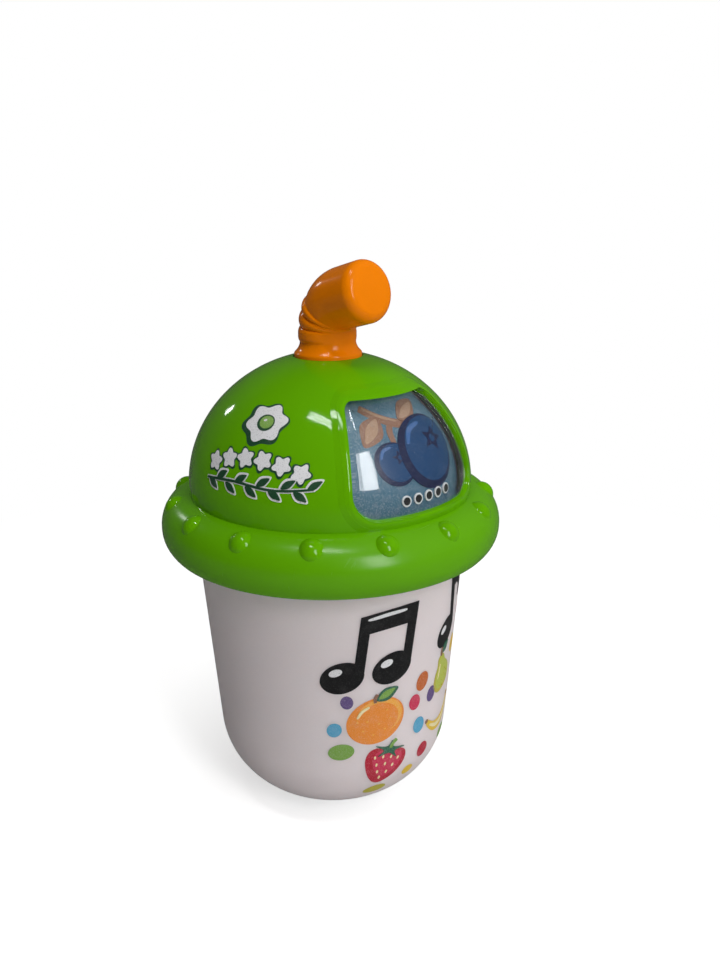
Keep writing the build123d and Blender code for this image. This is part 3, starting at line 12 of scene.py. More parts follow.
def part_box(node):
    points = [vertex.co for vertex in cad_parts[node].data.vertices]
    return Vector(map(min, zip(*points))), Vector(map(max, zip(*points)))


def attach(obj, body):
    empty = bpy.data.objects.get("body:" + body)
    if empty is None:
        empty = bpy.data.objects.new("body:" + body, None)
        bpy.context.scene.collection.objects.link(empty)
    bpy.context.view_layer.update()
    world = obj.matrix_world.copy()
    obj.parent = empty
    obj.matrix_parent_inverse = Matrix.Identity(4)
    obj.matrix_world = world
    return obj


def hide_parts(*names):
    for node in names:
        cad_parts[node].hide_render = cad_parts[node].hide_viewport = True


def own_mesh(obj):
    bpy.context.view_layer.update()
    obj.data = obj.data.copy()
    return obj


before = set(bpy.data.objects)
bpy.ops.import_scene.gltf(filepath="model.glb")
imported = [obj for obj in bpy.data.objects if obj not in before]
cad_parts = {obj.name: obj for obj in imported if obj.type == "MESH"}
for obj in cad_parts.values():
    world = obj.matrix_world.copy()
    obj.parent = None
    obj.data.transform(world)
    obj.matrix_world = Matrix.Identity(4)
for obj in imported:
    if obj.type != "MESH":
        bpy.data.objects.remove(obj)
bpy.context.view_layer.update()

bl_info = {
    "name": "Toy Smoothie Cup",
    "version": (1, 0, 0),
    "blender": (4, 5, 0),
    "location": "View3D > Sidebar > Smoothie Cup",
    "description": "Adds the looks of a light-up toy smoothie cup to its frame",
    "category": "Object",
}

MM = 0.001

# ---- shapes shared with the frame, in mm
DOME_R = 49.6
DOME_RISE = 45.4
DOME_Z = 121.0
CREASE_Z = 119.8
NUB_STEP = radians(24.0)  # the brim's knobs, from one to the next
NUB_PHASE = radians(1.7)
NUB_RING_R = 55.64
NUB_Z = 117.44

WINDOW_HALF = radians(32.2)
WINDOW_LOW = 122.4
WINDOW_HIGH = 156.2
LOW_CORNER = 9.0
HIGH_CORNER = 2.6

STRAW_R = 9.4
STRAW_END_R = 9.8
STRAW_END_L = 13.4
STRAW_WALL = 1.8
COLLAR_R = 11.45
COLLAR_Z = 165.374
COLLAR_DROP = 6.9
BEND_RISE = 7.6
BEND_R = 11.6
BEND_ANGLE = radians(76.0)

WALL_FOOT = (43.695, 28.89)  # radius and height where the cup's wall meets its rounded bottom
WALL_LEAN = radians(3.556)
CORNER_CENTRE = (12.954, 30.8)
CORNER_R = 30.8

PANEL_INSET = 4.70  # printed faces of the picture panels, under the dome's face
PANEL_BACK = 6.10
PANEL_HALF = radians(34.5)
PICTURES = 5

PRESSED = (  # what gives under the straw: node, joint, foot and height
    ("straw_spring", "straw_press", 154.5, 7.4),
    ("switch_pad", "plunger_press", 87.6, 6.0),
)

# ---- colours, linear
BOARD_GREEN = (0.01, 0.09, 0.03)
TRACE_GREEN = (0.05, 0.22, 0.07)
SOLDER = (0.55, 0.52, 0.46)
BARE_METAL = (0.6, 0.6, 0.58)
GROUNDS = (
    (0.016, 0.10, 0.180), (0.62, 0.33, 0.34), (0.30, 0.50, 0.50), (0.42, 0.34, 0.52), (0.62, 0.58, 0.30))
GROUND_GLOW = (0.34, 0.48, 0.54)
INKS = {
    "black": (0.006, 0.006, 0.007),
    "white": (0.78, 0.78, 0.80),
    "forest": (0.008, 0.06, 0.022),
    "orange": (0.86, 0.27, 0.028),
    "amber": (0.90, 0.42, 0.06),
    "rust": (0.56, 0.13, 0.02),
    "crimson": (0.50, 0.008, 0.035),
    "rose": (0.62, 0.03, 0.09),
    "yellow": (0.78, 0.52, 0.03),
    "cream": (0.90, 0.78, 0.42),
    "olive": (0.52, 0.46, 0.03),
    "pear": (0.48, 0.55, 0.07),
    "green": (0.21, 0.40, 0.07),
    "pine": (0.03, 0.14, 0.08),
    "sky": (0.09, 0.38, 0.60),
    "violet": (0.13, 0.08, 0.24),
    "berry": (0.004, 0.050, 0.155),
    "berry_dark": (0.004, 0.010, 0.055),
    "berry_light": (0.03, 0.12, 0.34),
    "bark": (0.27, 0.135, 0.085),
    "bark_light": (0.42, 0.26, 0.17),
}
INK_GRAIN = {"berry": 0.06, "berry_dark": 0.05, "black": 0.05, "white": 0.5, "forest": 0.06, "cream": 0.4}
OTHER_GRAIN = 0.2
BUMP_DEPTH = {"moulded": 0.0001, "ink": 0.00005, "metal": 0.00005}


# ---- settings
class CupSettings(PropertyGroup):
    """What may be changed before the pieces are made."""

    cup_colour: FloatVectorProperty(
        name="Cup", description="Colour of the cup", default=(0.90, 0.75, 0.755), subtype="COLOR")
    lid_colour: FloatVectorProperty(
        name="Lid", description="Colour of the lid and its ring", default=(0.112, 0.372, 0.001),
        subtype="COLOR")
    straw_colour: FloatVectorProperty(
        name="Straw", description="Colour of the straw and the knob", default=(0.86, 0.215, 0.0003),
        subtype="COLOR")
    camera_lens: FloatProperty(name="Lens", description="Focal length", default=31.908, unit="CAMERA")
    camera_place: FloatVectorProperty(
        name="Camera", description="Place of the camera", default=(-0.18636, -0.22131, 0.21301),
        subtype="TRANSLATION")
    floor_size: FloatProperty(name="Floor", description="Half the floor's side", default=4.0, unit="LENGTH")
    key_power: FloatProperty(name="Key", description="Power of the tall soft lamp", default=4.5, unit="POWER")
    tube_power: FloatProperty(
        name="Tubes", description="Power of each overhead tube", default=1.7, unit="POWER")
    rim_power: FloatProperty(
        name="Rim", description="Power of the small lamp behind", default=0.72, unit="POWER")
    fill_level: FloatProperty(
        name="Fill", description="Level of the wide soft light from the right", default=1.08)
    sky_level: FloatProperty(name="Sky", description="Level of the soft light all round", default=0.03)
    lip_rise: FloatProperty(
        name="Lip", description="Height of the window's lip over the dome", default=0.00040, unit="LENGTH")
    straw_sides: IntProperty(name="Straw Sides", description="Faces round the straw", default=112)
    print_height: FloatProperty(
        name="Print", description="How far the lowest ink stands over its surface", default=0.00003,
        unit="LENGTH")


def settings():
    return bpy.context.scene.smoothie_cup


# ---- node trees
def add(tree, kind, values=None, **props):
    """A shader node with its properties set and its sockets given a value or a link."""
    node = tree.nodes.new("ShaderNode" + kind)
    for key, value in props.items():
        setattr(node, key, value)
    for key, value in (values or {}).items():
        if isinstance(value, bpy.types.NodeSocket):
            tree.links.new(value, node.inputs[key])
        else:
            node.inputs[key].default_value = value
    return node


def rgba(colour):
    return (*colour, 1.0)


def maths(tree, operation, a, b=0.0):
    return add(tree, "Math", {0: a, 1: b}, operation=operation).outputs[0]


def plus(tree, a, b):
    return maths(tree, "ADD", a, b)


def minus(tree, a, b):
    return maths(tree, "SUBTRACT", a, b)


def times(tree, a, b):
    return maths(tree, "MULTIPLY", a, b)


def vector_maths(tree, operation, a, b=(0.0, 0.0, 0.0)):
    return add(tree, "VectorMath", {0: a, 1: b}, operation=operation).outputs["Value"]


def noise(tree, vector, scale, detail=2.0, rough=0.5, distortion=0.0):
    values = {"Vector": vector, "Scale": scale, "Detail": detail, "Roughness": rough}
    return add(tree, "TexNoise", {**values, "Distortion": distortion}).outputs["Fac"]


def drawn_out(tree, vector, scale, rotation=(0.0, 0.0, 0.0)):
    values = {"Vector": vector, "Rotation": rotation, "Scale": scale}
    return add(tree, "Mapping", values).outputs[0]


def remap(tree, value, low, high, to_low=0.0, to_high=1.0):
    values = {"Value": value, "From Min": low, "From Max": high, "To Min": to_low, "To Max": to_high}
    return add(tree, "MapRange", values).outputs[0]


def mix_colour(tree, factor, a, b, blend="MIX"):
    return add(tree, "Mix", {0: factor, 6: a, 7: b}, data_type="RGBA", blend_type=blend).outputs[2]


def mix_shader(tree, factor, a, b):
    return add(tree, "MixShader", {0: factor, 1: a, 2: b}).outputs[0]


def grey(tree, level):
    return add(tree, "CombineColor", {"Red": level, "Green": level, "Blue": level}).outputs[0]


def banded(tree, value, bands):
    """Flat bands of colour along a value, each from its own position on."""
    ramp = add(tree, "ValToRGB", {"Fac": value})
    ramp.color_ramp.interpolation = "CONSTANT"
    stops = ramp.color_ramp.elements
    while len(stops) < len(bands):
        stops.new(0.5)
    for stop, (position, colour) in zip(stops, bands):
        stop.position, stop.color = position, rgba(colour)
    return ramp.outputs["Color"]


def object_place(tree):
    return add(tree, "TexCoord").outputs["Object"]


def separated(tree, vector):
    return add(tree, "SeparateXYZ", {"Vector": vector}).outputs


def turn_round(tree, part):
    """The angle round the upright axis, from the front."""
    return maths(tree, "ARCTAN2", part["X"], times(tree, part["Y"], -1.0))


def straight_through(tree, path):
    """One for a ray that has passed the clear pane and has bounced off nothing before."""
    bounces = plus(tree, path["Diffuse Depth"], path["Glossy Depth"])
    return times(tree, path["Is Transmission Ray"], maths(tree, "LESS_THAN", bounces, 0.5))


def new_group(name, *numbers):
    """An empty node group that takes a colour and these numbers, with its input and output sockets."""
    group = bpy.data.node_groups.new(name, "ShaderNodeTree")
    for in_out, labels in (("INPUT", numbers), ("OUTPUT", ("Roughness", "Height"))):
        group.interface.new_socket(name="Colour", in_out=in_out, socket_type="NodeSocketColor")
        for label in labels:
            group.interface.new_socket(name=label, in_out=in_out, socket_type="NodeSocketFloat")
    return group, group.nodes.new("NodeGroupInput").outputs, group.nodes.new("NodeGroupOutput").inputs


def finish_group(group, result, colour, rough, height):
    for label, value in (("Colour", colour), ("Roughness", rough), ("Height", height)):
        group.links.new(value, result[label])
    return group


def moulded_group():
    """Moulded plastic: slight mottle, peel, flow marks and hairline scuffs."""
    group, given, result = new_group("Moulded Plastic", "Mottle", "Roughness", "Peel Scale", "Scuffs")
    place = object_place(group)
    cloud = minus(group, noise(group, place, 42.0, 4.0, 0.55), 0.5)
    speck = minus(group, noise(group, place, 1500.0), 0.5)
    shade = times(group, plus(group, times(group, cloud, 2.0), speck), given["Mottle"])
    colour = mix_colour(group, 1.0, given["Colour"], grey(group, plus(group, 1.0, shade)), "MULTIPLY")
    stretched = drawn_out(group, place, (60.0, 1400.0, 90.0), (0.5, 0.9, 0.3))
    line = remap(group, noise(group, stretched, 1.0, distortion=0.4), 0.64, 0.70)
    patch = remap(group, noise(group, place, 70.0), 0.55, 0.7)
    scuff = times(group, times(group, line, patch), given["Scuffs"])
    uneven = times(group, minus(group, noise(group, place, 130.0, 3.0), 0.5), 0.12)
    rough = times(group, given["Roughness"], plus(group, 1.0, uneven))
    rough = plus(group, rough, times(group, scuff, 0.3))
    peel = noise(group, place, given["Peel Scale"])
    height = plus(group, peel, times(group, noise(group, place, 55.0), 3.0))
    height = minus(group, height, times(group, scuff, 0.6))
    return finish_group(group, result, colour, rough, height)


def ink_group():
    """Pad-printed ink: halftone grain, thin places and a fine tooth."""
    group, given, result = new_group("Printed Ink", "Grain", "Roughness")
    place = object_place(group)
    grain = noise(group, place, 2600.0, 2.0, 0.6)
    light = times(group, remap(group, grain, 0.52, 0.72), given["Grain"])
    dark = times(group, remap(group, grain, 0.46, 0.28), given["Grain"])
    thin = times(group, remap(group, noise(group, place, 260.0, 3.0), 0.5, 0.8), given["Grain"])
    colour = mix_colour(group, light, given["Colour"], (0.75, 0.73, 0.72, 1.0))
    colour = mix_colour(group, times(group, thin, 0.5), colour, (0.7, 0.68, 0.68, 1.0))
    colour = mix_colour(group, times(group, dark, 0.8), colour, (0.02, 0.02, 0.02, 1.0))
    rough = plus(group, given["Roughness"], times(group, grain, 0.08))
    return finish_group(group, result, colour, rough, grain)


def metal_group():
    """Drawn or plated metal: tool lines, tarnish and small pits."""
    group, given, result = new_group("Worked Metal", "Roughness", "Tarnish")
    place = object_place(group)
    line = noise(group, drawn_out(group, place, (350.0, 350.0, 6000.0)), 1.0, 3.0)
    stain = times(group, remap(group, noise(group, place, 420.0, 4.0), 0.42, 0.75), given["Tarnish"])
    colour = mix_colour(group, stain, given["Colour"], (0.12, 0.10, 0.08, 1.0))
    rough = plus(group, given["Roughness"], times(group, plus(group, line, stain), 0.14))
    return finish_group(group, result, colour, rough, line)


# ---- materials
GROUPS = {}
MATERIALS = {}


def new_material(name):
    material = bpy.data.materials.new(name)
    material.use_nodes = True
    material.node_tree.nodes.clear()
    return material, material.node_tree


def finish_material(tree, shader):
    add(tree, "OutputMaterial", {"Surface": shader})


def surfaced(name, group, colour, numbers, bump, fixed=None):
    """A Principled material fed by a shared group, whose numbers are given in the group's order."""
    material, tree = new_material(name)
    node = add(tree, "Group", dict(enumerate((rgba(colour), *numbers))), node_tree=GROUPS[group])
    normal = add(tree, "Bump", {
        "Height": node.outputs["Height"], "Strength": bump, "Distance": BUMP_DEPTH[group]})
    shader = add(tree, "BsdfPrincipled", {
        "Base Color": node.outputs["Colour"], "Roughness": node.outputs["Roughness"],
        "Normal": normal.outputs[0], **(fixed or {})})
    finish_material(tree, shader.outputs[0])
    return material, tree, shader, node


def plastic(name, colour, rough, mottle=0.03, peel=900.0, scuffs=0.5, fixed=None):
    return surfaced(name, "moulded", colour, (mottle, rough, peel, scuffs), 0.12, fixed)[0]


def metal(name, colour, rough, tarnish=0.2):
    return surfaced(name, "metal", colour, (rough, tarnish), 0.2, {"Metallic": 1.0})[0]


def ink(name, colour):
    label = "Ink " + name.replace("_", " ").title()
    return surfaced(label, "ink", colour, (INK_GRAIN.get(name, OTHER_GRAIN), 0.38), 0.1)[0]


def cup_material():
    """Milky polypropylene that light passes into."""
    fixed = {"Subsurface Weight": 0.6, "Subsurface Radius": (1.0, 0.85, 0.8), "Subsurface Scale": 0.008}
    numbers = (0.035, 0.42, 1400.0, 0.5)
    return surfaced("Milky Cup", "moulded", settings().cup_colour, numbers, 0.25, fixed)[0]


DOME_POLISH = 0.3  # share of the brim's roughness on the dome
NUB_POLISH = 0.35  # and on the brim's knobs
NUB_POLISH_R = (3.6, 4.2)  # where a knob's polish starts and stops to fade


def lid_material():
    """One green moulding: a polished dome over a satin brim with polished knobs."""
    material, tree, shader, node = surfaced(
        "Green Lid", "moulded", settings().lid_colour, (0.03, 0.24, 700.0, 0.3), 0.1,
        {"Specular IOR Level": 0.34})
    part = separated(tree, object_place(tree))
    dome = remap(tree, part["Z"], (CREASE_Z - 0.6) * MM, (CREASE_Z + 0.3) * MM, 1.0, DOME_POLISH)
    flat = add(tree, "CombineXYZ", {"X": part["X"], "Y": part["Y"]}).outputs[0]
    steps = maths(tree, "DIVIDE", turn_round(tree, part), NUB_STEP)
    steps = maths(tree, "FRACT", minus(tree, steps, NUB_PHASE / NUB_STEP - 0.5))
    from_nub = add(tree, "CombineXYZ", {
        "X": times(tree, minus(tree, steps, 0.5), NUB_STEP * NUB_RING_R * MM),
        "Y": minus(tree, vector_maths(tree, "LENGTH", flat), NUB_RING_R * MM),
        "Z": minus(tree, part["Z"], NUB_Z * MM)}).outputs[0]
    inner, outer = NUB_POLISH_R
    nub = remap(tree, vector_maths(tree, "LENGTH", from_nub), inner * MM, outer * MM, NUB_POLISH, 1.0)
    polish = times(tree, dome, nub)
    tree.links.new(times(tree, node.outputs["Roughness"], polish), shader.inputs["Roughness"])
    return material


def lens_material():
    """Clear polycarbonate. Shadow rays pass, so the picture behind is lit."""
    material, tree, shader, _ = surfaced(
        "Clear Window", "moulded", (1.0, 1.0, 1.0), (0.0, 0.05, 300.0, 0.2), 0.02,
        {"Transmission Weight": 1.0, "IOR": 1.5})
    output = next(node for node in tree.nodes if node.type == "OUTPUT_MATERIAL")
    path = add(tree, "LightPath").outputs
    open_air = add(tree, "BsdfTransparent", {"Color": (0.97, 0.98, 0.98, 1.0)})
    bounced = maths(tree, "GREATER_THAN", path["Diffuse Depth"], 0.5)
    straight = maths(tree, "MAXIMUM", path["Is Shadow Ray"], bounced)
    mixed = mix_shader(tree, straight, shader.outputs[0], open_air.outputs[0])
    tree.links.new(mixed, output.inputs["Surface"])
    return material


def picture_material():
    """Five grounds round the drum, one behind each picture, with a grainy airbrushed fade."""
    material, tree, _, node = surfaced("Picture Ground", "ink", GROUNDS[0], (0.30, 0.5), 0.15)
    place = object_place(tree)
    part = separated(tree, place)
    turns = maths(tree, "DIVIDE", turn_round(tree, part), 2 * pi)
    turns = maths(tree, "FRACT", plus(tree, turns, 1.0 + 0.5 / PICTURES))
    ground = banded(tree, turns, [(index / PICTURES, colour) for index, colour in enumerate(GROUNDS)])
    cloud = remap(tree, noise(tree, place, 60.0, 5.0, 0.6), 0.3, 0.7)
    fade = remap(tree, part["Z"], 0.118, 0.152)
    glow = times(tree, plus(tree, cloud, fade), 0.14)
    tree.links.new(mix_colour(tree, glow, ground, rgba(GROUND_GLOW)), node.inputs["Colour"])
    return material


def board_material():
    """Green solder mask with raised copper traces and pads."""
    material, tree, _, node = surfaced("Circuit Board", "moulded", BOARD_GREEN, (0.05, 0.3, 1800.0, 0.3), 0.3)
    place = object_place(tree)
    cells = add(tree, "TexBrick", {
        "Vector": place, "Color1": (0, 0, 0, 1), "Color2": (0.2, 0.2, 0.2, 1), "Mortar": (1, 1, 1, 1),
        "Scale": 1.0, "Mortar Size": 0.00018, "Brick Width": 0.0061, "Row Height": 0.0017}, offset=0.37)
    pads = add(tree, "TexVoronoi", {"Vector": place, "Scale": 260.0}).outputs["Distance"]
    trace = add(tree, "RGBToBW", {"Color": cells.outputs["Color"]}).outputs[0]
    mask = mix_colour(tree, times(tree, trace, 0.6), rgba(BOARD_GREEN), rgba(TRACE_GREEN))
    mask = mix_colour(tree, remap(tree, pads, 0.2, 0.17), mask, rgba(SOLDER))
    tree.links.new(mask, node.inputs["Colour"])
    return material


def cell_material():
    """Battery sleeve: black body, copper band and a bare metal rim, plain of any words."""
    material, tree, _, node = surfaced(
        "Battery Sleeve", "metal", (0.02, 0.02, 0.02), (0.25, 0.1), 0.1, {"Metallic": 0.6})
    height = remap(tree, separated(tree, object_place(tree))["Z"], 0.005, 0.050)
    bands = ((0.0, BARE_METAL), (0.04, (0.02, 0.02, 0.022)), (0.70, (0.62, 0.28, 0.12)), (0.94, BARE_METAL))
    tree.links.new(banded(tree, height, bands), node.inputs["Colour"])
    return material


def make_materials():
    """Every material by its slot, and every ink by its name."""
    GROUPS.update(moulded=moulded_group(), ink=ink_group(), metal=metal_group())
    green, orange = settings().lid_colour, settings().straw_colour
    lamp = {"Subsurface Weight": 0.5, "Subsurface Radius": (1.0, 1.0, 0.9), "Subsurface Scale": 0.002}
    made = {
        "cup_white": cup_material(),
        "base_white": plastic("White Base", (0.62, 0.60, 0.61), 0.42, peel=1400.0),
        "lid_green": lid_material(),
        "ring_green": plastic("Green Ring", green, 0.38),
        "lens_clear": lens_material(),
        "straw_orange": plastic("Orange Straw", orange, 0.16, 0.04, 500.0, 0.2, {"Specular IOR Level": 0.2}),
        "knob_orange": plastic("Orange Knob", orange, 0.35, peel=1200.0),
        "inner_white": plastic("Inner White", (0.66, 0.66, 0.64), 0.45, peel=1100.0),
        "print": picture_material(),
        "steel": metal("Zinc-Plated Steel", (0.56, 0.57, 0.60), 0.22),
        "spring_steel": metal("Spring Steel", (0.50, 0.49, 0.47), 0.2, 0.1),
        "brass": metal("Brass", (0.78, 0.56, 0.20), 0.24, 0.25),
        "magnet": metal("Nickel Magnet", (0.42, 0.43, 0.45), 0.3, 0.3),
        "board": board_material(),
        "black_plastic": plastic("Black Plastic", (0.012, 0.012, 0.013), 0.42, 0.1, 2000.0),
        "lamp": plastic("Lamp Lens", (0.80, 0.80, 0.76), 0.12, 0.02, fixed=lamp),
        "pad_rubber": plastic("Grey Rubber", (0.10, 0.10, 0.105), 0.62, 0.08, 1600.0),
        "cell": cell_material(),
        "lead_red": plastic("Red Wire", (0.55, 0.02, 0.015), 0.35, 0.06),
    }
    made.update(("ink_" + name, ink(name, colour)) for name, colour in INKS.items())
    return made


def paint_frame():
    """Makes the materials and gives every node of the frame the one of its slot."""
    MATERIALS.update(make_materials())
    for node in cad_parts.values():
        for slot in node.material_slots:
            slot.material = MATERIALS[slot.material.name.split(".")[0]]


def soften_press():
    """Gives the coil spring and the rubber pad under the straw meshes of their own."""
    for name, joint, foot, height in PRESSED:
        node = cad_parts[name]
        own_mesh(node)


# ---- meshes
def new_piece(name, points, faces, materials, body, face_materials=None, sharp=35.0):
    """A mesh piece in millimetres that rides on a body."""
    mesh = bpy.data.meshes.new(name)
    mesh.from_pydata([Vector(p) * MM for p in points], [], faces)
    for key in materials:
        mesh.materials.append(MATERIALS[key])
    if face_materials:
        mesh.polygons.foreach_set("material_index", face_materials)
    mesh.validate()
    mesh.shade_smooth()
    mesh.set_sharp_from_angle(angle=radians(sharp))
    piece = bpy.data.objects.new(name, mesh)
    bpy.context.scene.collection.objects.link(piece)
    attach(piece, body)
    return piece


def loop_faces(loops, sides, closed=True):
    """Quads between loops of points that follow each other, seen from outside."""
    faces = []
    count = loops if closed else loops - 1
    for i in range(count):
        a, b = i * sides, (i + 1) % loops * sides
        for j in range(sides):
            k = (j + 1) % sides
            faces.append((a + j, a + k, b + k, b + j))
    return faces


def skin_faces(points, sides):
    """Faces of a closed skin from a first point over rings of so many sides to a last point."""
    last = points - 1
    faces = [tuple(1 + v for v in face) for face in loop_faces((points - 2) // sides, sides, closed=False)]
    for j in range(sides):
        k = (j + 1) % sides
        faces += [(0, 1 + k, 1 + j), (last - sides + j, last - sides + k, last)]
    return faces


def dome_r(z, out=0.0):
    """Radius of the dome's face at a height, moved out by out."""
    if z <= DOME_Z:
        return DOME_R + out
    return (DOME_R + out) * sqrt(max(0.0, 1 - ((z - DOME_Z) / (DOME_RISE + out)) ** 2))


def round_place(angle, r, z):
    return (r * sin(angle), -r * cos(angle), z)


# ---- window
WINDOW_RUNS = (("low", 30), ("low_corner", 18), ("side", 26), ("high_corner", 12), ("high", 30))


def window_samples():
    """The window's outline as (kind, side, share) all the way round, from the middle of the lower edge."""
    ahead = [(kind, 1, i / count) for kind, count in WINDOW_RUNS for i in range(count)]
    back = [(kind, -1, 1 - i / count) for kind, count in reversed(WINDOW_RUNS) for i in range(count)]
    return ahead + back


def window_point(sample, grow, out):
    """(angle, radius, height) of an outline point moved out by grow, on the dome's face raised by out."""
    kind, side, share = sample
    if kind in ("low", "high"):
        low = kind == "low"
        z = WINDOW_LOW - grow if low else WINDOW_HIGH + grow
        r = dome_r(z, out)
        reach = WINDOW_HALF + asin(-(LOW_CORNER if low else HIGH_CORNER) / r)
        return side * (share if low else 1 - share) * reach, r, z
    turn = share * pi / 2
    if kind == "side":
        q = grow
        z = WINDOW_LOW + LOW_CORNER + share * (WINDOW_HIGH - HIGH_CORNER - WINDOW_LOW - LOW_CORNER)
    elif kind == "low_corner":
        q = -LOW_CORNER + (LOW_CORNER + grow) * sin(turn)
        z = WINDOW_LOW + LOW_CORNER - (LOW_CORNER + grow) * cos(turn)
    else:
        q = -HIGH_CORNER + (HIGH_CORNER + grow) * cos(turn)
        z = WINDOW_HIGH - HIGH_CORNER + (HIGH_CORNER + grow) * sin(turn)
    r = dome_r(z, out)
    return side * (WINDOW_HALF + asin(q / r)), r, z


LIP_TOP = 0.55  # crest that the section below is drawn for
LIP_SECTION = (  # (out from the window's edge, over the dome's face)
    (-0.10, -2.34), (-0.10, -0.55), (-0.09, -0.30), (-0.04, -0.10), (0.07, 0.10), (0.24, 0.27), (0.46, 0.40),
    (0.74, 0.50), (1.06, 0.55), (1.45, 0.54), (1.90, 0.48), (2.40, 0.39), (2.90, 0.29), (3.40, 0.19),
    (3.90, 0.10), (4.40, 0.02), (4.85, -0.07), (5.20, -0.22), (5.00, -1.10), (3.20, -1.90), (1.60, -2.30))
LIP_FLANK = 2.8  # where the lip's outer flank starts
TOP_TAIL = 0.45  # how much of the flank is kept over the upper edge


def lip_grow(sample, grow):
    """The lip's flank is shorter over the upper edge, where the dome lies flatter."""
    kind, _, share = sample
    flat = {"high": 1.0, "high_corner": share}.get(kind, 0.0)
    if grow <= LIP_FLANK:
        return grow
    return LIP_FLANK + (grow - LIP_FLANK) * (1 + (TOP_TAIL - 1) * flat)


def make_window_lip():
    """The rounded lip that the dome rises to all round its window."""
    samples = window_samples()
    scale = settings().lip_rise / MM / LIP_TOP
    points = []
    for sample in samples:
        for grow, out in LIP_SECTION:
            out = out * scale if out > 0.0 else out
            points.append(round_place(*window_point(sample, lip_grow(sample, grow), out)))
    faces = loop_faces(len(samples), len(LIP_SECTION))
    new_piece("window_lip", points, faces, ["lid_green"], "lid", sharp=50)


LENS_EDGE = (  # (out from the window's edge, under the dome's face)
    (-3.00, 0.40), (-2.40, 0.45), (-1.90, 0.53), (-1.45, 0.64), (-1.05, 0.79), (-0.70, 0.99), (-0.43, 1.25),
    (-0.25, 1.58), (-0.17, 1.96), (-0.15, 2.42), (-0.10, 2.50), (2.05, 2.50), (2.20, 2.62), (2.20, 3.58),
    (2.05, 3.70), (0.0, 3.70), (-0.25, 3.60), (-0.4, 3.30), (-0.5, 2.80), (-0.65, 2.45), (-1.0, 2.20))
LENS_RINGS = 14
LENS_MIDDLE_Z = 139.0


def make_window_lens():
    """The clear pane with rolled edges and its flange behind the dome's wall."""
    samples = window_samples()
    (front_grow, front_inset), (back_grow, back_inset) = LENS_EDGE[0], LENS_EDGE[-1]
    points = [round_place(0.0, dome_r(LENS_MIDDLE_Z, -front_inset), LENS_MIDDLE_Z)]

    def inner_ring(share, grow, inset):
        for sample in samples:
            angle, _, z = window_point(sample, grow, -inset)
            z = LENS_MIDDLE_Z + (z - LENS_MIDDLE_Z) * share
            points.append(round_place(angle * share, dome_r(z, -inset), z))

    for ring in range(1, LENS_RINGS):
        inner_ring(ring / LENS_RINGS, front_grow, front_inset)
    for grow, inset in LENS_EDGE:
        points += [round_place(*window_point(sample, grow, -inset)) for sample in samples]
    for ring in range(LENS_RINGS - 1, 0, -1):
        inner_ring(ring / LENS_RINGS, back_grow, back_inset)
    points.append(round_place(0.0, dome_r(LENS_MIDDLE_Z, -back_inset), LENS_MIDDLE_Z))
    faces = [face[::-1] for face in skin_faces(len(points), len(samples))]
    piece = new_piece("clear_window", points, faces, ["lens_clear"], "lid", sharp=60)
    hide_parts("window_lens")


# ---- straw
RIB_EDGES = (-3.0, 2.4, 8.6, 13.0)  # grooves along the straw's outer side, from the start of the bend
RIB_RISE = 0.85  # from the bottom of a groove to the crest of a rib
RIB_FULLNESS = 0.75  # power of a rib's rounded section
GROOVE_DEPTH = 0.35
RIB_REACH = radians(160)  # how far round the ribs go, and the stretch over which they fade
RIB_FADE = radians(70)
SWELL = (4.9, 12.3)  # stretch of the bend over which the straw widens towards its end
COLLAR_PROFILE = (  # (along the axis from the foot of the flare, radius)
    (-COLLAR_DROP, 11.0), (-COLLAR_DROP + 0.12, 11.3), (-COLLAR_DROP + 0.4, 11.45), (-0.1, 11.45),
    (0.55, 11.44), (0.85, 11.34), (1.15, 11.1), (1.5, 10.75), (1.95, 10.35), (2.5, 9.98), (3.1, 9.69),
    (3.7, 9.49), (4.3, 9.41))
TUBE_START = 4.5  # where the tube takes over from the collar
TUBE_STEPS = 96
TIP_STEPS = 8
EDGE_STEPS = 10
BORE_STEPS = 40
END_EDGE_R = 3.3  # rounding of the straw's closed end
END_CROWN = 0.35


def straw_frame(along):
    """Centre, forward and outer direction of the straw, along its axis from the foot of the flare."""
    turn = min(max((along - BEND_RISE) / BEND_R, 0.0), BEND_ANGLE)
    forward = Vector((0.0, -sin(turn), cos(turn)))
    outer = Vector((0.0, cos(turn), sin(turn)))
    centre = Vector((0.0, -BEND_R, COLLAR_Z + BEND_RISE)) + outer * BEND_R
    spare = along - BEND_RISE - turn * BEND_R
    return centre + forward * spare, forward, outer


def ease(share):
    share = min(max(share, 0.0), 1.0)
    return share * share * (3 - 2 * share)


def tube_r(along):
    """Radius of the straw's tube, which widens a little along the bend."""
    low, high = SWELL
    return STRAW_R + (STRAW_END_R - STRAW_R) * ease((along - BEND_RISE - low) / (high - low))


def rib_height(along, round_angle):
    """The three soft ribs on the outer side of the bend, which fade out towards its inner side."""
    lift = along - BEND_RISE
    if lift > 0:
        lift *= (BEND_R + STRAW_R) / BEND_R
    fade = ease((RIB_REACH - abs(round_angle)) / RIB_FADE)
    for low, high in zip(RIB_EDGES, RIB_EDGES[1:]):
        if low < lift < high:
            share = (lift - low) / (high - low) * 2 - 1
            crest = RIB_RISE * (1 - share * share) ** RIB_FULLNESS
            sunk = GROOVE_DEPTH
            if share < 0 and low == RIB_EDGES[0]:
                sunk *= ease(1 + share)
            if share > 0 and high == RIB_EDGES[-1]:
                sunk *= 1 - 0.6 * share
            return (crest - sunk) * fade
    if lift >= RIB_EDGES[-1]:
        return -0.4 * GROOVE_DEPTH * fade * (1 - ease((lift - RIB_EDGES[-1]) / 3.0))
    return 0.0


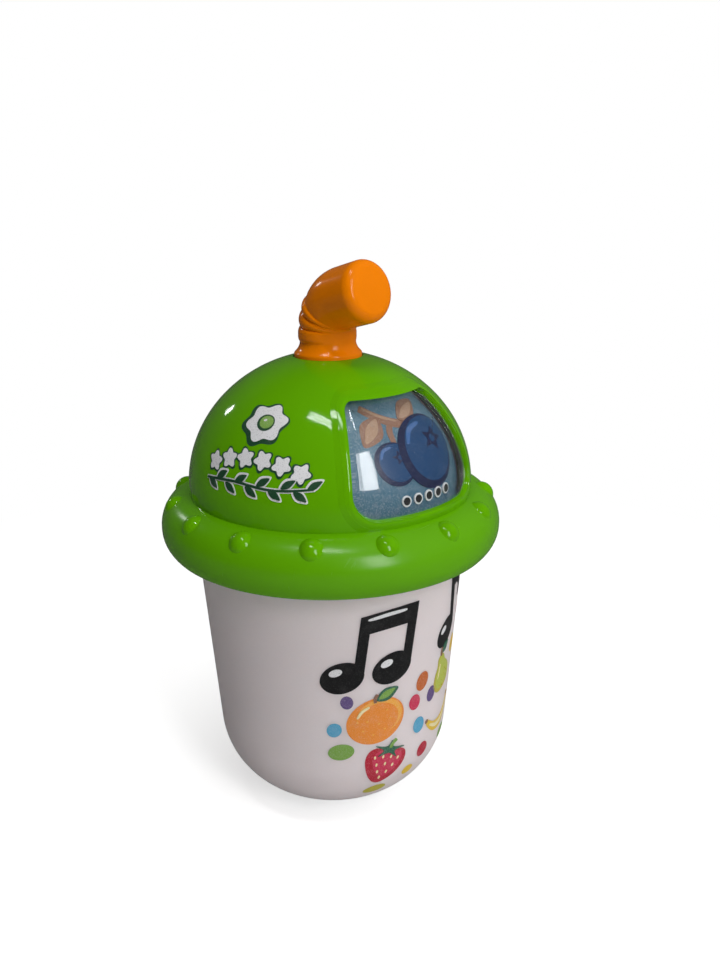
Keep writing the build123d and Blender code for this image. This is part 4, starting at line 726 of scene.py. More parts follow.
def straw_rings():
    """(along, radius, ribbed) of the rings down the bore and up the outside, and where both end."""
    bend_end = BEND_RISE + BEND_ANGLE * BEND_R
    length = bend_end + STRAW_END_L
    tip = STRAW_END_L - END_CROWN - END_EDGE_R
    flat = STRAW_END_R - END_EDGE_R
    outside = [(along, radius, False) for along, radius in COLLAR_PROFILE]
    for i in range(TUBE_STEPS + 1):
        along = TUBE_START + (bend_end - TUBE_START) * i / TUBE_STEPS
        outside.append((along, tube_r(along), True))
    for i in range(1, TIP_STEPS + 1):
        outside.append((bend_end + tip * i / TIP_STEPS, STRAW_END_R, False))
    for i in range(1, EDGE_STEPS + 1):
        turn = pi / 2 * i / EDGE_STEPS
        along = bend_end + tip + END_EDGE_R * sin(turn)
        outside.append((along, flat + END_EDGE_R * cos(turn), False))
    for share in (0.9, 0.75, 0.55, 0.35, 0.15):
        outside.append((length - END_CROWN * share ** 2, flat * share, False))
    top = length - STRAW_WALL
    inner_r = STRAW_R - STRAW_WALL
    collar_r = COLLAR_R - STRAW_WALL
    bore = [(top, inner_r * 0.6, False), (top - 0.1, inner_r * 0.95, False)]
    for i in range(BORE_STEPS):
        bore.append((top - 0.5 - (top - TUBE_START) * i / (BORE_STEPS - 1), inner_r, False))
    bore += [(1.6, collar_r, False), (0.1 - COLLAR_DROP, collar_r, False)]
    bore.append((-COLLAR_DROP, collar_r + 0.2, False))
    return bore + outside, top, length


def make_straw():
    """The bent straw with its flared collar, hollow inside, with a closed and slightly crowned end."""
    sides = settings().straw_sides
    rings, top, tip = straw_rings()

    def ring(along, radius, ribbed):
        centre, forward, outer = straw_frame(along)
        across = forward.cross(outer)
        for j in range(sides):
            turn = 2 * pi * j / sides
            signed = (turn + pi) % (2 * pi) - pi
            r = radius + (rib_height(along, signed) if ribbed else 0.0)
            points.append(centre + outer * (r * cos(turn)) + across * (r * sin(turn)))

    points = [straw_frame(top)[0]]
    for place in rings:
        ring(*place)
    points.append(straw_frame(tip)[0])
    faces = skin_faces(len(points), sides)
    piece = new_piece("bent_straw", points, faces, ["straw_orange"], "straw", sharp=60)
    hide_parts("straw")


# ---- prints
DOME_STEPS = 400


def cup_place(angle, z):
    """Maps flat (x, y, height) to the cup's face, with (0, 0) at an angle in degrees and a height."""
    r0, z0 = WALL_FOOT
    if z > z0:
        start = (z - z0) / cos(WALL_LEAN)
    else:
        start = (asin((z - CORNER_R) / CORNER_R) + WALL_LEAN) * CORNER_R

    def at(x, y, height):
        s = start + y
        if s >= 0:
            r, up = r0 + s * sin(WALL_LEAN), z0 + s * cos(WALL_LEAN)
            out = (cos(WALL_LEAN), -sin(WALL_LEAN))
        else:
            turn = -WALL_LEAN + s / CORNER_R
            out = (cos(turn), sin(turn))
            r, up = CORNER_CENTRE[0] + CORNER_R * out[0], CORNER_CENTRE[1] + CORNER_R * out[1]
        return round_place(radians(angle) + x / r, r + out[0] * height, up + out[1] * height)

    return at


def dome_place(angle, z, inset=0.0):
    """Maps flat (x, y, height) to the dome's face, or to a face inside it."""
    a, b = DOME_R - inset, DOME_RISE - inset
    quarter = pi / 2
    table = [0.0]
    for i in range(DOME_STEPS):
        t = (i + 0.5) / DOME_STEPS * quarter
        table.append(table[-1] + hypot(a * sin(t), b * cos(t)) * quarter / DOME_STEPS)
    start = z - DOME_Z
    if start > 0:
        start = table[round(asin(start / b) / quarter * DOME_STEPS)]

    def at(x, y, height):
        s = start + y
        if s <= 0:
            r, up, out = a, DOME_Z + s, (1.0, 0.0)
        else:
            low, high = 0, DOME_STEPS
            while high - low > 1:
                mid = (low + high) // 2
                low, high = (mid, high) if table[mid] <= s else (low, mid)
            t = (low + (s - table[low]) / (table[high] - table[low])) / DOME_STEPS * quarter
            r, up = a * cos(t), DOME_Z + b * sin(t)
            size = hypot(b * cos(t), a * sin(t))
            out = (b * cos(t) / size, a * sin(t) / size)
        return round_place(radians(angle) + x / max(r, 1.0), r + out[0] * height, up + out[1] * height)

    return at


POINTS_PER_MM = 9  # outline points of an oval per millimetre of its longer radius
LEAST_POINTS = 16
LOBE_POINTS = 14


def moved(outline, x=0.0, y=0.0, turn=0.0, scale=1.0):
    c, s = cos(radians(turn)) * scale, sin(radians(turn)) * scale
    return [(x + u * c - v * s, y + u * s + v * c) for u, v in outline]


def placed(layers, x, y, turn=0.0, scale=1.0):
    return [(key, moved(shape, x, y, turn, scale)) for key, shape in layers]


def mirrored(half):
    """A closed outline from its right half, whose two ends lie on the middle line."""
    return half + [(-x, y) for x, y in reversed(half[1:-1])]


def oval(x, y, rx, ry=None, turn=0.0):
    """An ellipse as an outline."""
    ry = rx if ry is None else ry
    count = max(LEAST_POINTS, int(max(rx, ry) * POINTS_PER_MM))
    angles = [2 * pi * i / count for i in range(count)]
    return moved([(rx * cos(a), ry * sin(a)) for a in angles], x, y, turn)


def star(x, y, outer, inner, turn, across=1.0, up=1.0):
    """A five-pointed outline, turned by an angle in radians and then squeezed."""
    outline = []
    for i in range(10):
        angle = pi * i / 5 + turn
        r = inner if i % 2 else outer
        outline.append((x + r * cos(angle) * across, y + r * sin(angle) * up))
    return outline


def lobed(lobes, r, depth, squeeze=1.0, turn=0.0):
    """A round flower outline."""
    count = lobes * LOBE_POINTS
    outline = []
    for i in range(count):
        a = 2 * pi * i / count
        k = r * (1 + depth * cos(lobes * a))
        outline.append((k * cos(a), k * sin(a) * squeeze))
    return moved(outline, turn=turn)


def curve(p0, p1, p2, p3, steps):
    """Points on a smooth curve from p1 up to p2, between p0 and p3."""
    for j in range(steps):
        t = j / steps
        yield 0.5 * (2 * p1 + (p2 - p0) * t + (2 * p0 - 5 * p1 + 4 * p2 - p3) * t * t
                     + (3 * p1 - p0 - 3 * p2 + p3) * t ** 3)


def smooth(points, per=7):
    """A closed rounded outline through points."""
    around = [Vector(p) for p in points]
    n = len(around)
    return [(q.x, q.y) for i in range(n) for q in curve(*(around[(i + k - 1) % n] for k in range(4)), per)]


def leaf(x, y, length, width, turn):
    """A leaf from its stalk end at (x, y)."""
    shape = [(0.0, 0.0), (0.22, 0.36), (0.5, 0.5), (0.8, 0.3), (1.0, 0.0), (0.8, -0.26), (0.5, -0.46),
             (0.22, -0.34)]
    return moved(smooth([(length * u, width * v) for u, v in shape], 6), x, y, turn)


def stroke(points, width, taper=0.35):
    """A brush line through points, thinner at its ends."""
    spots = [Vector(p) for p in points]
    spots = [spots[0], *spots, spots[-1]]
    path = [q for i in range(len(points) - 1) for q in curve(*spots[i:i + 4], 8)] + [spots[-1]]
    left, right = [], []
    for i, p in enumerate(path):
        run = (path[min(i + 1, len(path) - 1)] - path[max(i - 1, 0)]).normalized()
        share = i / (len(path) - 1)
        half = width / 2 * (taper + (1 - taper) * sin(pi * share) ** 0.5)
        side = Vector((-run.y, run.x)) * half
        left.append((p.x + side.x, p.y + side.y))
        right.append((p.x - side.x, p.y - side.y))
    return right + left[::-1]


GRID = 1.1  # spacing of the points inside an ink
GRID_START = (0.53, 0.47)  # off the middle, so that no point falls in line with the outline's
GRID_ROOM = 0.4  # least distance to the ink's edge, as a share of the spacing
LAYER_STEP = 0.022  # from one ink to the next that lies on it
INK_DEPTH = 0.25  # how far an ink reaches into what it is printed on


def inside(point, outline):
    x, y = point
    hit = False
    for (x1, y1), (x2, y2) in zip(outline, outline[1:] + outline[:1]):
        if (y1 > y) != (y2 > y) and x < (x2 - x1) * (y - y1) / (y2 - y1) + x1:
            hit = not hit
    return hit


def ink_patch(outline, place, height):
    """Points and faces of one thin closed patch of ink on a curved face."""
    xs, ys = zip(*outline)
    flat = [Vector(p) for p in outline]
    edge = len(flat)
    for i in range(int((max(xs) - min(xs)) / GRID) + 1):
        for j in range(int((max(ys) - min(ys)) / GRID) + 1):
            p = (min(xs) + (i + GRID_START[0]) * GRID, min(ys) + (j + GRID_START[1]) * GRID)
            if inside(p, outline) and min(dist(p, q) for q in outline) > GRID * GRID_ROOM:
                flat.append(Vector(p))
    got, _, tris, _, _, _ = delaunay_2d_cdt(flat, [], [list(range(edge))], 1, 1e-5)
    count = len(got)
    points = [place(p.x, p.y, level) for level in (height, -INK_DEPTH) for p in got]
    faces, used = [], {}
    for tri in tris:
        a, b, c = (got[v] for v in tri)
        tri = list(tri) if (b - a).cross(c - a) >= 0 else list(reversed(tri))
        faces += [tuple(tri), tuple(v + count for v in reversed(tri))]
        used.update(dict.fromkeys(zip(tri, tri[1:] + tri[:1])))
    faces += [(w, v, v + count, w + count) for v, w in used if (w, v) not in used]
    return points, faces


def make_print(name, body, place, layers):
    """One printed motif: layers of (ink, outline), each a hair over the one below."""
    points, faces, kinds, inks = [], [], [], []
    base = settings().print_height / MM
    for depth, (key, outline) in enumerate(layers):
        new_points, new_faces = ink_patch(outline, place, base + depth * LAYER_STEP)
        key = "ink_" + key
        if key not in inks:
            inks.append(key)
        faces += [tuple(v + len(points) for v in face) for face in new_faces]
        kinds += [inks.index(key)] * len(new_faces)
        points += new_points
    new_piece(name, points, faces, inks, body, kinds)


def specks(key, spots, rx, ry, lean=0.0):
    return [(key, oval(x, y, rx, ry, x * lean)) for x, y in spots]


def tangerine():
    """A whole tangerine with a leaf."""
    pores = ((-5.2, -2.4), (-2.0, -5.2), (2.4, -4.4), (-3.2, 1.0), (5.0, -0.8), (0.6, -1.4), (-6.6, 1.8),
             (4.2, 3.2))
    return [("orange", oval(0, 0, 10.6, 9.4)), ("amber", oval(1.6, 1.3, 8.3, 7.2, -20)),
            ("orange", oval(0.9, 0.5, 7.5, 6.5, -20)), *specks("amber", pores, 0.42, 0.34),
            ("cream", stroke([(-6.4, 3.4), (-4.4, 5.6), (-1.6, 6.7)], 1.1)),
            ("bark", stroke([(0.6, 7.6), (0.9, 9.4), (1.8, 10.6)], 1.3, 0.7)),
            ("pine", leaf(1.2, 8.4, 8.6, 5.0, 14)), ("green", leaf(2.0, 8.8, 6.6, 2.8, 16))]


def strawberry():
    """A strawberry with pale seeds and its green cap."""
    body = smooth(mirrored([(0, -10.2), (5.4, -6.4), (8.8, 0.6), (8.0, 5.6), (3.6, 7.2), (0, 6.6)]))
    seeds = ((-5.2, 2.6), (-1.8, 3.2), (1.8, 3.2), (5.2, 2.6), (-3.6, -0.6), (0, 0), (3.6, -0.6),
             (-2.2, -3.8), (1.8, -3.8), (-0.2, -6.8))
    return [("crimson", body), ("rose", moved(body, 0.6, 0.8, 0, 0.72)),
            *specks("cream", seeds, 0.42, 0.78, -3),
            ("pine", smooth(star(0, 6.6, 6.6, 2.5, 0.3, 1.05, 0.62), 5)),
            ("green", stroke([(0, 7.4), (0.5, 9.6), (1.8, 11.2)], 1.5, 0.7))]


def pear():
    """A pear with a blush and a leaf."""
    half = [(0, -10.0), (5.6, -8.6), (8.0, -3.8), (6.4, 1.4), (3.8, 5.0), (2.6, 8.8), (0, 10.4)]
    body = smooth(mirrored(half))
    freckles = ((1.8, -2.6), (3.8, -5.2), (0.2, -5.6), (-2.6, -6.4), (3.4, -0.6), (5.0, -3.0), (-0.4, -8.0))
    return [("olive", body), ("pear", moved(body, 0.5, 0.3, 0, 0.86)),
            ("cream", stroke([(-4.2, -1.4), (-2.6, 2.2), (-1.2, 5.6)], 1.1)),
            *specks("olive", freckles, 0.4, 0.4),
            ("bark", stroke([(0, 9.8), (0.3, 12.0), (1.4, 13.6)], 1.3, 0.7)),
            ("pine", leaf(0.4, 11.0, 7.2, 3.8, 24))]


def banana():
    """A banana with darker ends."""
    body = smooth([(-9.6, 4.6), (-8.8, 5.6), (-7.6, 4.4), (-4.6, 0.4), (0.4, -1.9), (5.6, -1.0), (9.4, 2.6),
                   (10.6, 2.2), (10.2, 0.2), (6.4, -4.6), (0.4, -6.8), (-5.4, -4.4), (-8.6, 0.2)])
    light = stroke([(-7.6, 1.6), (-3.8, -2.6), (1.0, -4.2), (6.0, -2.8), (9.0, 0.4)], 2.0, 0.2)
    return [("yellow", body), ("cream", light), ("bark", oval(-9.0, 4.9, 1.0, 0.9)),
            ("bark", oval(10.0, 1.4, 0.9, 1.0))]


def apple():
    """A green apple with a leaf."""
    half = [(0, 6.6), (3.8, 8.0), (8.2, 5.6), (9.2, 0.2), (6.8, -6.0), (2.8, -8.8), (0, -8.0)]
    body = smooth(mirrored(half))
    return [("pine", body), ("green", moved(body, 0.2, 0.2, 0, 0.93)),
            ("pear", moved(body, 1.6, 1.0, 0, 0.62)),
            ("cream", stroke([(-6.4, 0.6), (-6.0, 3.2), (-4.0, 5.6)], 1.2)),
            ("bark", stroke([(0, 6.0), (0.4, 9.2), (1.8, 11.2)], 1.4, 0.7)),
            ("pine", leaf(0.6, 8.6, 8.4, 4.4, 20))]


def berry(x, y, r, turn):
    """One blueberry with its pointed crown."""
    mid_x, mid_y = x + r * 0.22, y + r * 0.30
    crown = star(mid_x, mid_y, r * 0.40, r * 0.21, radians(turn), 1.0, 0.8)
    glint = [(x - r * 0.70, y + r * 0.10), (x - r * 0.56, y + r * 0.50), (x - r * 0.18, y + r * 0.72)]
    return [("berry_dark", oval(x, y, r, r * 0.97)),
            ("berry", oval(x + r * 0.08, y + r * 0.07, r * 0.87, r * 0.84)),
            ("berry_light", stroke(glint, r * 0.13)), ("berry_dark", smooth(crown, 4)),
            ("berry", oval(mid_x, mid_y, r * 0.12, r * 0.10))]


def blueberries():
    """Two blueberries on a brown twig with two leaves."""
    return [("bark", stroke([(-14.5, 12.0), (-9.6, 9.4), (-4.6, 8.2), (0.4, 8.6)], 3.0, 0.7)),
            ("bark_light", stroke([(-13.6, 12.2), (-9.2, 10.0), (-4.6, 8.9)], 0.9)),
            ("bark", stroke([(-6.6, 9.0), (-7.6, 5.2), (-7.0, 1.8)], 1.9, 0.7)),
            ("bark", leaf(-10.4, 9.6, 11.5, 6.6, -118)), ("bark_light", leaf(-10.7, 9.0, 9.6, 3.2, -118)),
            ("bark", leaf(-3.6, 9.4, 10.5, 6.4, 38)), ("bark_light", leaf(-2.9, 9.9, 8.6, 3.0, 38)),
            *berry(-7.2, -4.2, 6.4, 40), *berry(5.2, 0.6, 11.2, 10)]


def pips(key, count, gap, r):
    """A level row of plain dots."""
    return [(key, oval((i - (count - 1) / 2) * gap, 0, r)) for i in range(count)]


def music_pair():
    """Two beamed music notes, bold and black, with small glints."""
    head = oval(0, 0, 7.6, 6.0, 24)
    beam = [(-3.9, 13.4), (1.0, 14.8), (6.4, 16.0), (12.0, 16.9), (17.2, 17.4), (17.2, 10.2), (12.0, 9.7),
            (6.4, 8.8), (1.0, 7.6), (-3.9, 6.2)]
    black = [moved(head, -7.4, -9.8), moved(head, 10.0, -6.6),
             [(-3.9, -8.4), (-0.2, -8.4), (-0.2, 14.0), (-3.9, 13.2)],
             [(13.5, -5.0), (17.2, -5.0), (17.2, 17.0), (13.5, 16.4)], beam]
    white = [oval(-9.9, -7.8, 2.3, 1.4, 24), oval(7.5, -4.6, 2.3, 1.4, 24),
             stroke([(-1.4, 12.4), (5.6, 14.2), (12.4, 15.2)], 1.3)]
    return [("black", shape) for shape in black] + [("white", shape) for shape in white]


def music_note():
    """One music note with a flag."""
    flag = [(2.2, 16.0), (4.6, 11.8), (9.4, 8.4), (10.2, 3.0), (8.2, -1.0), (8.0, 3.6), (5.6, 6.2),
            (2.2, 7.2)]
    stem = [(0.0, -8.6), (3.3, -8.6), (3.3, 16.4), (0.0, 16.4)]
    return [("black", oval(-3.2, -9.4, 6.8, 5.2, 24)), ("black", stem), ("black", smooth(flag, 6)),
            ("white", oval(-5.4, -7.6, 2.0, 1.2, 24))]


def flower_badge():
    """A pale flower on a dark green rim."""
    return [("forest", moved(lobed(6, 7.8, 0.10, 0.94), -0.5, -0.5, 12)),
            ("white", lobed(6, 6.6, 0.12, 0.94, 12)), ("forest", oval(0, 0, 3.1, 2.9)),
            ("green", oval(0.2, 0.2, 2.4, 2.2)), ("white", oval(-0.4, 0.8, 0.6, 0.4, 20))]


def star_row():
    """A bowed row of pale stars with dark edges."""
    dark, pale = [], []
    for i in range(6):
        x = (i - 2.5) * 6.5
        y = -0.012 * x * x + 1.2
        dark.append(("forest", moved(lobed(5, 3.35, 0.17), x, y, 18 + i * 9)))
        pale.append(("white", moved(lobed(5, 2.65, 0.20), x + 0.12, y + 0.12, 18 + i * 9)))
    return dark + pale


def leaf_row():
    """A row of dark leaves with pale edges along a thin stalk."""
    spots = [(-18.6 + i * 4.1, 1 if i % 2 else -1) for i in range(10)]
    return [("white", stroke([(-20.5, -0.6), (-7, 0.5), (7, -0.4), (20.5, 0.6)], 1.5, 0.8)),
            *(("white", leaf(x - 0.9, side * 0.1, 6.4, 3.6, side * 33)) for x, side in spots),
            ("forest", stroke([(-20.0, -0.6), (-7, 0.5), (7, -0.4), (20.0, 0.6)], 0.8, 0.8)),
            *(("forest", leaf(x - 0.2, side * 0.35, 5.0, 2.3, side * 33)) for x, side in spots)]


CUP_MOTIFS = (  # name, motif, angle and height on the cup, shift across, turn, scale
    ("two_notes", music_pair, -22.0, 76.0, -3.2, -6, 1.0),
    ("one_note", music_note, 22.0, 82.0, 0.0, 8, 1.0),
    ("tangerine", tangerine, -21.0, 48.0, 0.0, 10, 1.02),
    ("strawberry", strawberry, -16.0, 28.5, 0.0, -16, 0.92),
    ("pear", pear, 19.5, 55.8, 0.0, 14, 0.8),
    ("banana", banana, 21.5, 37.0, 0.0, 20, 0.95),
)
CONFETTI = (  # (ink, angle, height, radius across, radius up, turn)
    ("rust", 3.0, 58.0, 3.0, 3.8, -12), ("rose", -1.0, 50.5, 2.6, 3.3, 10),
    ("yellow", 31.5, 63.0, 2.9, 3.6, -8), ("violet", 10.5, 50.0, 2.5, 3.2, 0),
    ("sky", 3.0, 39.5, 2.8, 3.5, 12), ("crimson", 7.5, 27.0, 2.9, 3.2, -10),
    ("green", -37.0, 36.5, 4.6, 3.4, 6), ("olive", -19.0, 15.5, 4.4, 2.6, 8),
    ("violet", -34.5, 57.2, 2.2, 2.7, 14), ("sky", -40.0, 46.0, 2.6, 2.9, -8),
    ("orange", 42.0, 44.5, 2.8, 3.4, 10), ("green", 28.5, 26.0, 3.6, 3.0, -8),
    ("rose", 41.0, 74.5, 2.6, 3.2, 8), ("yellow", -1.0, 20.5, 2.6, 2.4, 0),
    ("crimson", 46.0, 57.0, 2.6, 3.1, 0))
LID_MOTIFS = (  # name, motif, angle and height on the dome
    ("flower", flower_badge, -70.9, 150.2),
    ("star_row", star_row, -71.2, 139.2),
    ("leaf_row", leaf_row, -70.0, 132.6),
)
PICTURES_Z = 134.5  # middle of the pictures on the drum
DOTS_PLACE = (2.6, -8.8)  # middle of the counting dots, from a picture's middle
PICTURE_MOTIFS = (  # name, (motif, x, y, turn, scale), number of dots, dark and pale ink
    ("blueberries", ((blueberries, 1.4, 5.6, -14, 1.12),), 5, "black", "white"),
    ("strawberries", ((strawberry, -1.0, 4.6, -10, 1.3),), 1, "forest", "white"),
    ("bananas", ((banana, 0, 9.5, 10, 1.3), (banana, 0.5, 4.0, 0, 1.3)), 2, "bark", "cream"),
    ("apples", ((apple, 0, 3.8, 6, 1.3),), 3, "violet", "white"),
    ("tangerines", ((tangerine, 0, 4.2, -8, 1.2),), 4, "rust", "cream"),
)


def make_cup_prints():
    """Music notes, fruit and confetti on the cup."""
    for name, motif, angle, z, x, turn, scale in CUP_MOTIFS:
        make_print("print_" + name, "cup", cup_place(angle, z), placed(motif(), x, 0.0, turn, scale))
    for index, (key, angle, z, rx, ry, turn) in enumerate(CONFETTI):
        dot = [(key, oval(0, 0, rx, ry, turn))]
        make_print(f"print_dot_{index + 1:02d}", "cup", cup_place(angle, z), dot)


def make_lid_prints():
    """Flower, stars and leaves on the dome."""
    for name, motif, angle, z in LID_MOTIFS:
        make_print("print_" + name, "lid", dome_place(angle, z), motif())


def make_pictures():
    """One fruit picture on each panel of the drum, with a row of counting dots under it."""
    for index, (name, motifs, count, dark, pale) in enumerate(PICTURE_MOTIFS):
        layers = []
        for motif, *spot in motifs:
            layers += placed(motif(), *spot)
        layers += placed(pips(pale, count, 4.6, 1.75) + pips(dark, count, 4.6, 1.25), *DOTS_PLACE)
        place = dome_place(index * 360.0 / PICTURES, PICTURES_Z, PANEL_INSET)
        make_print("picture_" + name, "cup", place, layers)


PANEL_ACROSS = 40  # faces across a panel and up it
PANEL_UP = 24
PANEL_EDGE = 0.25  # chamfer round a panel's face


def make_panels():
    """Five stout panels round the drum, which carry the pictures close behind the window."""
    low, high = (corner.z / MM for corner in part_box("picture_panels"))
    row = PANEL_ACROSS + 1
    layer = row * (PANEL_UP + 1)
    rim = [*range(PANEL_ACROSS), *(j * row + PANEL_ACROSS for j in range(PANEL_UP))]
    rim += [PANEL_UP * row + i for i in range(PANEL_ACROSS, 0, -1)]
    rim += [j * row for j in range(PANEL_UP, 0, -1)]
    sheets = ((PANEL_INSET, PANEL_EDGE), (PANEL_INSET + PANEL_EDGE, 0.0), (PANEL_BACK, 0.0))
    points, faces = [], []
    for index in range(PICTURES):
        middle = 2 * pi * index / PICTURES
        first = len(points)
        for inset, spare in sheets:
            half = PANEL_HALF - spare / DOME_R
            for j in range(PANEL_UP + 1):
                z = low + spare + (high - low - 2 * spare) * j / PANEL_UP
                for i in range(row):
                    angle = middle + half * (2 * i / PANEL_ACROSS - 1)
                    points.append(round_place(angle, dome_r(z, -inset), z))
        for v in (first + j * row + i for j in range(PANEL_UP) for i in range(PANEL_ACROSS)):
            w = v + 2 * layer
            faces += [(v, v + 1, v + row + 1, v + row), (w, w + row, w + row + 1, w + 1)]
        for here, there in zip(rim, rim[1:] + rim[:1]):
            for start in (first, first + layer):
                a, b = start + here, start + there
                faces.append((b, a, a + layer, b + layer))
    piece = new_piece("picture_panel_set", points, faces, ["print"], "cup", sharp=40)
    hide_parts("picture_panels")


# ---- stage
CAMERA_RIGHT = Vector((0.75711, -0.65318, -0.01184))
CAMERA_UP = Vector((0.25865, 0.28307, 0.92356))
CAMERA_SHIFT = (0.02425, 0.07672)
FLOOR_FADE = (0.12, 0.38)  # where the floor starts to fade to white and where it is white
FLOOR_DROP = 0.0001
FLOOR_GLOW = 0.62
ROOM_LEVEL = 0.010  # what gloss sees of the room
SWEEP_WAY = (0.628, 0.778, 0.0)  # away from the camera, where gloss sees a lighter sweep
SWEEP_LEVEL = 0.06
WITHIN_LEVEL = 0.1  # what a ray sees that has bounced inside the clear pane
FILL_WAY = (0.50, -0.45, 0.74)
LOOK_AT = Vector((0.0, 0.0, 0.13))
KEY_WAY = Vector((-0.150, -0.940, 0.500))
KEY_SIZE = (0.27, 0.62)
RIM_WAY = Vector((-0.144, 1.373, 0.58))
RIM_SIZE = (0.08, 0.13)
TUBE_PLACE = Vector((-0.311, -0.252, 1.53))
TUBE_RUN = (0.183, -0.983, 0.0)
TUBE_STEP = Vector((0.983, 0.183, 0.0)) * 0.055
TUBE_SIZE = (0.022, 0.62)


def towards(place, across, up):
    """The placing of a thing that looks down its own -Z axis."""
    return Matrix.Translation(place) @ Matrix((across, up, across.cross(up))).transposed().to_4x4()


def make_camera():
    data = bpy.data.cameras.new("camera")
    data.sensor_width = 36.0
    data.lens = settings().camera_lens
    data.shift_x, data.shift_y = CAMERA_SHIFT
    data.clip_start, data.clip_end = 0.01, 50.0
    camera = bpy.data.objects.new("camera", data)
    camera.matrix_world = towards(settings().camera_place, CAMERA_RIGHT, CAMERA_UP)
    bpy.context.scene.collection.objects.link(camera)
    bpy.context.scene.camera = camera


def floor_material():
    """A pale floor that keeps the shadow near the object. Further out the camera sees plain white."""
    material, tree = new_material("Floor")
    place = object_place(tree)
    path = add(tree, "LightPath").outputs
    grain = remap(tree, noise(tree, place, 3.0, 3.0), 0.3, 0.7, 0.64, 0.66)
    grain = times(tree, grain, remap(tree, path["Is Glossy Ray"], 0.0, 1.0, 1.0, 0.2))
    matt = add(tree, "BsdfDiffuse", {"Color": grey(tree, grain)}).outputs[0]
    glow = add(tree, "Emission", {"Strength": FLOOR_GLOW}).outputs[0]
    white = add(tree, "Emission", {"Strength": 1.0}).outputs[0]
    both = add(tree, "AddShader", {0: matt, 1: glow}).outputs[0]
    far = remap(tree, vector_maths(tree, "LENGTH", place), *FLOOR_FADE)
    seen = maths(tree, "MAXIMUM", path["Is Camera Ray"], straight_through(tree, path))
    finish_material(tree, mix_shader(tree, seen, matt, mix_shader(tree, far, both, white)))
    return material


def make_floor():
    size = settings().floor_size
    mesh = bpy.data.meshes.new("floor")
    corners = [(-size, -size, 0), (size, -size, 0), (size, size, 0), (-size, size, 0)]
    mesh.from_pydata(corners, [], [(0, 1, 2, 3)])
    mesh.materials.append(floor_material())
    floor = bpy.data.objects.new("floor", mesh)
    floor.location.z = -FLOOR_DROP
    bpy.context.scene.collection.objects.link(floor)


def make_world():
    """White for the camera, a dim level with a soft fill for light, and a dark room for gloss."""
    world = bpy.data.worlds.new("World")
    bpy.context.scene.world = world
    world.use_nodes = True
    tree = world.node_tree
    tree.nodes.clear()
    way = add(tree, "TexCoord").outputs["Generated"]
    path = add(tree, "LightPath").outputs
    behind = vector_maths(tree, "DOT_PRODUCT", way, SWEEP_WAY)
    low = remap(tree, separated(tree, way)["Z"], 0.80, 0.55)
    sweep = times(tree, remap(tree, behind, 0.2, 0.6), low)
    room = plus(tree, ROOM_LEVEL, times(tree, sweep, SWEEP_LEVEL))
    right = vector_maths(tree, "DOT_PRODUCT", way, FILL_WAY)
    even = plus(tree, settings().sky_level, remap(tree, right, 0.3, 1.0, 0.0, settings().fill_level))
    level = plus(tree, even, times(tree, path["Is Glossy Ray"], minus(tree, room, even)))
    unlit = maths(tree, "LESS_THAN", path["Diffuse Depth"], 0.5)
    within = times(tree, path["Is Transmission Ray"], times(tree, unlit, WITHIN_LEVEL))
    through = maths(tree, "MAXIMUM", straight_through(tree, path), within)
    level = maths(tree, "MAXIMUM", level, maths(tree, "MAXIMUM", path["Is Camera Ray"], through))
    light = add(tree, "Background", {"Color": (1.0, 1.0, 1.0, 1.0), "Strength": level})
    add(tree, "OutputWorld", {"Surface": light.outputs[0]})


def make_lamp(name, place, target, size, power, up=(0, 0, 1)):
    data = bpy.data.lights.new(name, "AREA")
    data.shape = "RECTANGLE"
    data.size, data.size_y = size
    data.energy = power
    lamp = bpy.data.objects.new(name, data)
    back = (place - target).normalized()
    across = Vector(up).cross(back).normalized()
    lamp.matrix_world = towards(place, across, back.cross(across))
    bpy.context.scene.collection.objects.link(lamp)


def make_lamps():
    chosen = settings()
    make_lamp("key", LOOK_AT + KEY_WAY, LOOK_AT, KEY_SIZE, chosen.key_power)
    for index in (-1, 0, 1):
        place = TUBE_PLACE + TUBE_STEP * index
        below = place - Vector((0, 0, 1))
        make_lamp(f"tube_{index + 2}", place, below, TUBE_SIZE, chosen.tube_power, up=TUBE_RUN)
    make_lamp("rim", LOOK_AT + RIM_WAY, LOOK_AT, RIM_SIZE, chosen.rim_power)


# ---- operators
class SMOOTHIE_CUP_OT_stage(Operator):
    """Adds the floor, the lamps and the camera"""

    bl_idname = "smoothie_cup.add_stage"
    bl_label = "Add Stage"

    def execute(self, context):
        context.scene.view_settings.view_transform = "Standard"
        make_world()
        make_floor()
        make_lamps()
        make_camera()
        return {"FINISHED"}


class SMOOTHIE_CUP_OT_frame(Operator):
    """Makes the materials, paints the frame and gives its spring and pad meshes of their own"""

    bl_idname = "smoothie_cup.paint_frame"
    bl_label = "Paint Frame"

    def execute(self, context):
        paint_frame()
        soften_press()
        return {"FINISHED"}


class SMOOTHIE_CUP_OT_window_lip(Operator):
    """Adds the rounded lip round the window"""

    bl_idname = "smoothie_cup.add_window_lip"
    bl_label = "Add Window Lip"

    def execute(self, context):
        make_window_lip()
        return {"FINISHED"}


class SMOOTHIE_CUP_OT_window_pane(Operator):
    """Adds the clear pane of the window"""

    bl_idname = "smoothie_cup.add_window_pane"
    bl_label = "Add Window Pane"

    def execute(self, context):
        make_window_lens()
        return {"FINISHED"}


class SMOOTHIE_CUP_OT_straw(Operator):
    """Adds the bent straw"""

    bl_idname = "smoothie_cup.add_straw"
    bl_label = "Add Straw"

    def execute(self, context):
        make_straw()
        return {"FINISHED"}


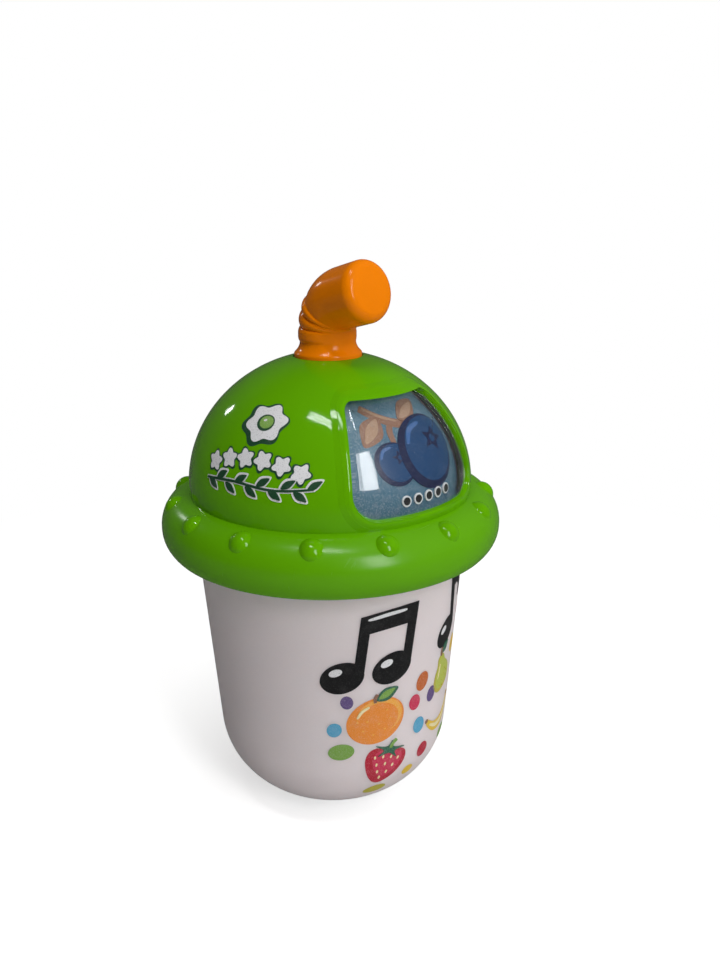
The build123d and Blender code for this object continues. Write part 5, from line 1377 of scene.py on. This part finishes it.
class SMOOTHIE_CUP_OT_cup_prints(Operator):
    """Adds the prints on the cup"""

    bl_idname = "smoothie_cup.add_cup_prints"
    bl_label = "Add Cup Prints"

    def execute(self, context):
        make_cup_prints()
        return {"FINISHED"}


class SMOOTHIE_CUP_OT_lid_prints(Operator):
    """Adds the prints on the dome"""

    bl_idname = "smoothie_cup.add_lid_prints"
    bl_label = "Add Lid Prints"

    def execute(self, context):
        make_lid_prints()
        return {"FINISHED"}


class SMOOTHIE_CUP_OT_panels(Operator):
    """Adds the panels that carry the pictures"""

    bl_idname = "smoothie_cup.add_panels"
    bl_label = "Add Picture Panels"

    def execute(self, context):
        make_panels()
        return {"FINISHED"}


class SMOOTHIE_CUP_OT_pictures(Operator):
    """Adds the pictures on the panels"""

    bl_idname = "smoothie_cup.add_pictures"
    bl_label = "Add Pictures"

    def execute(self, context):
        make_pictures()
        return {"FINISHED"}


OPERATORS = (
    SMOOTHIE_CUP_OT_stage, SMOOTHIE_CUP_OT_frame, SMOOTHIE_CUP_OT_window_lip, SMOOTHIE_CUP_OT_window_pane,
    SMOOTHIE_CUP_OT_straw, SMOOTHIE_CUP_OT_cup_prints, SMOOTHIE_CUP_OT_lid_prints, SMOOTHIE_CUP_OT_panels,
    SMOOTHIE_CUP_OT_pictures)


class SMOOTHIE_CUP_PT_panel(Panel):
    """The steps in the sidebar."""

    bl_label = "Toy Smoothie Cup"
    bl_idname = "SMOOTHIE_CUP_PT_panel"
    bl_space_type = "VIEW_3D"
    bl_region_type = "UI"
    bl_category = "Smoothie Cup"

    def draw(self, context):
        for step in OPERATORS:
            self.layout.operator(step.bl_idname)


CLASSES = (CupSettings, *OPERATORS, SMOOTHIE_CUP_PT_panel)


def register():
    for item in CLASSES:
        bpy.utils.register_class(item)
    bpy.types.Scene.smoothie_cup = PointerProperty(type=CupSettings)


def unregister():
    del bpy.types.Scene.smoothie_cup
    for item in reversed(CLASSES):
        bpy.utils.unregister_class(item)


def main():
    register()
    for step in OPERATORS:
        group, name = step.bl_idname.split(".")
        getattr(getattr(bpy.ops, group), name)()
    bpy.context.view_layer.update()


if __name__ == "__main__":
    main()
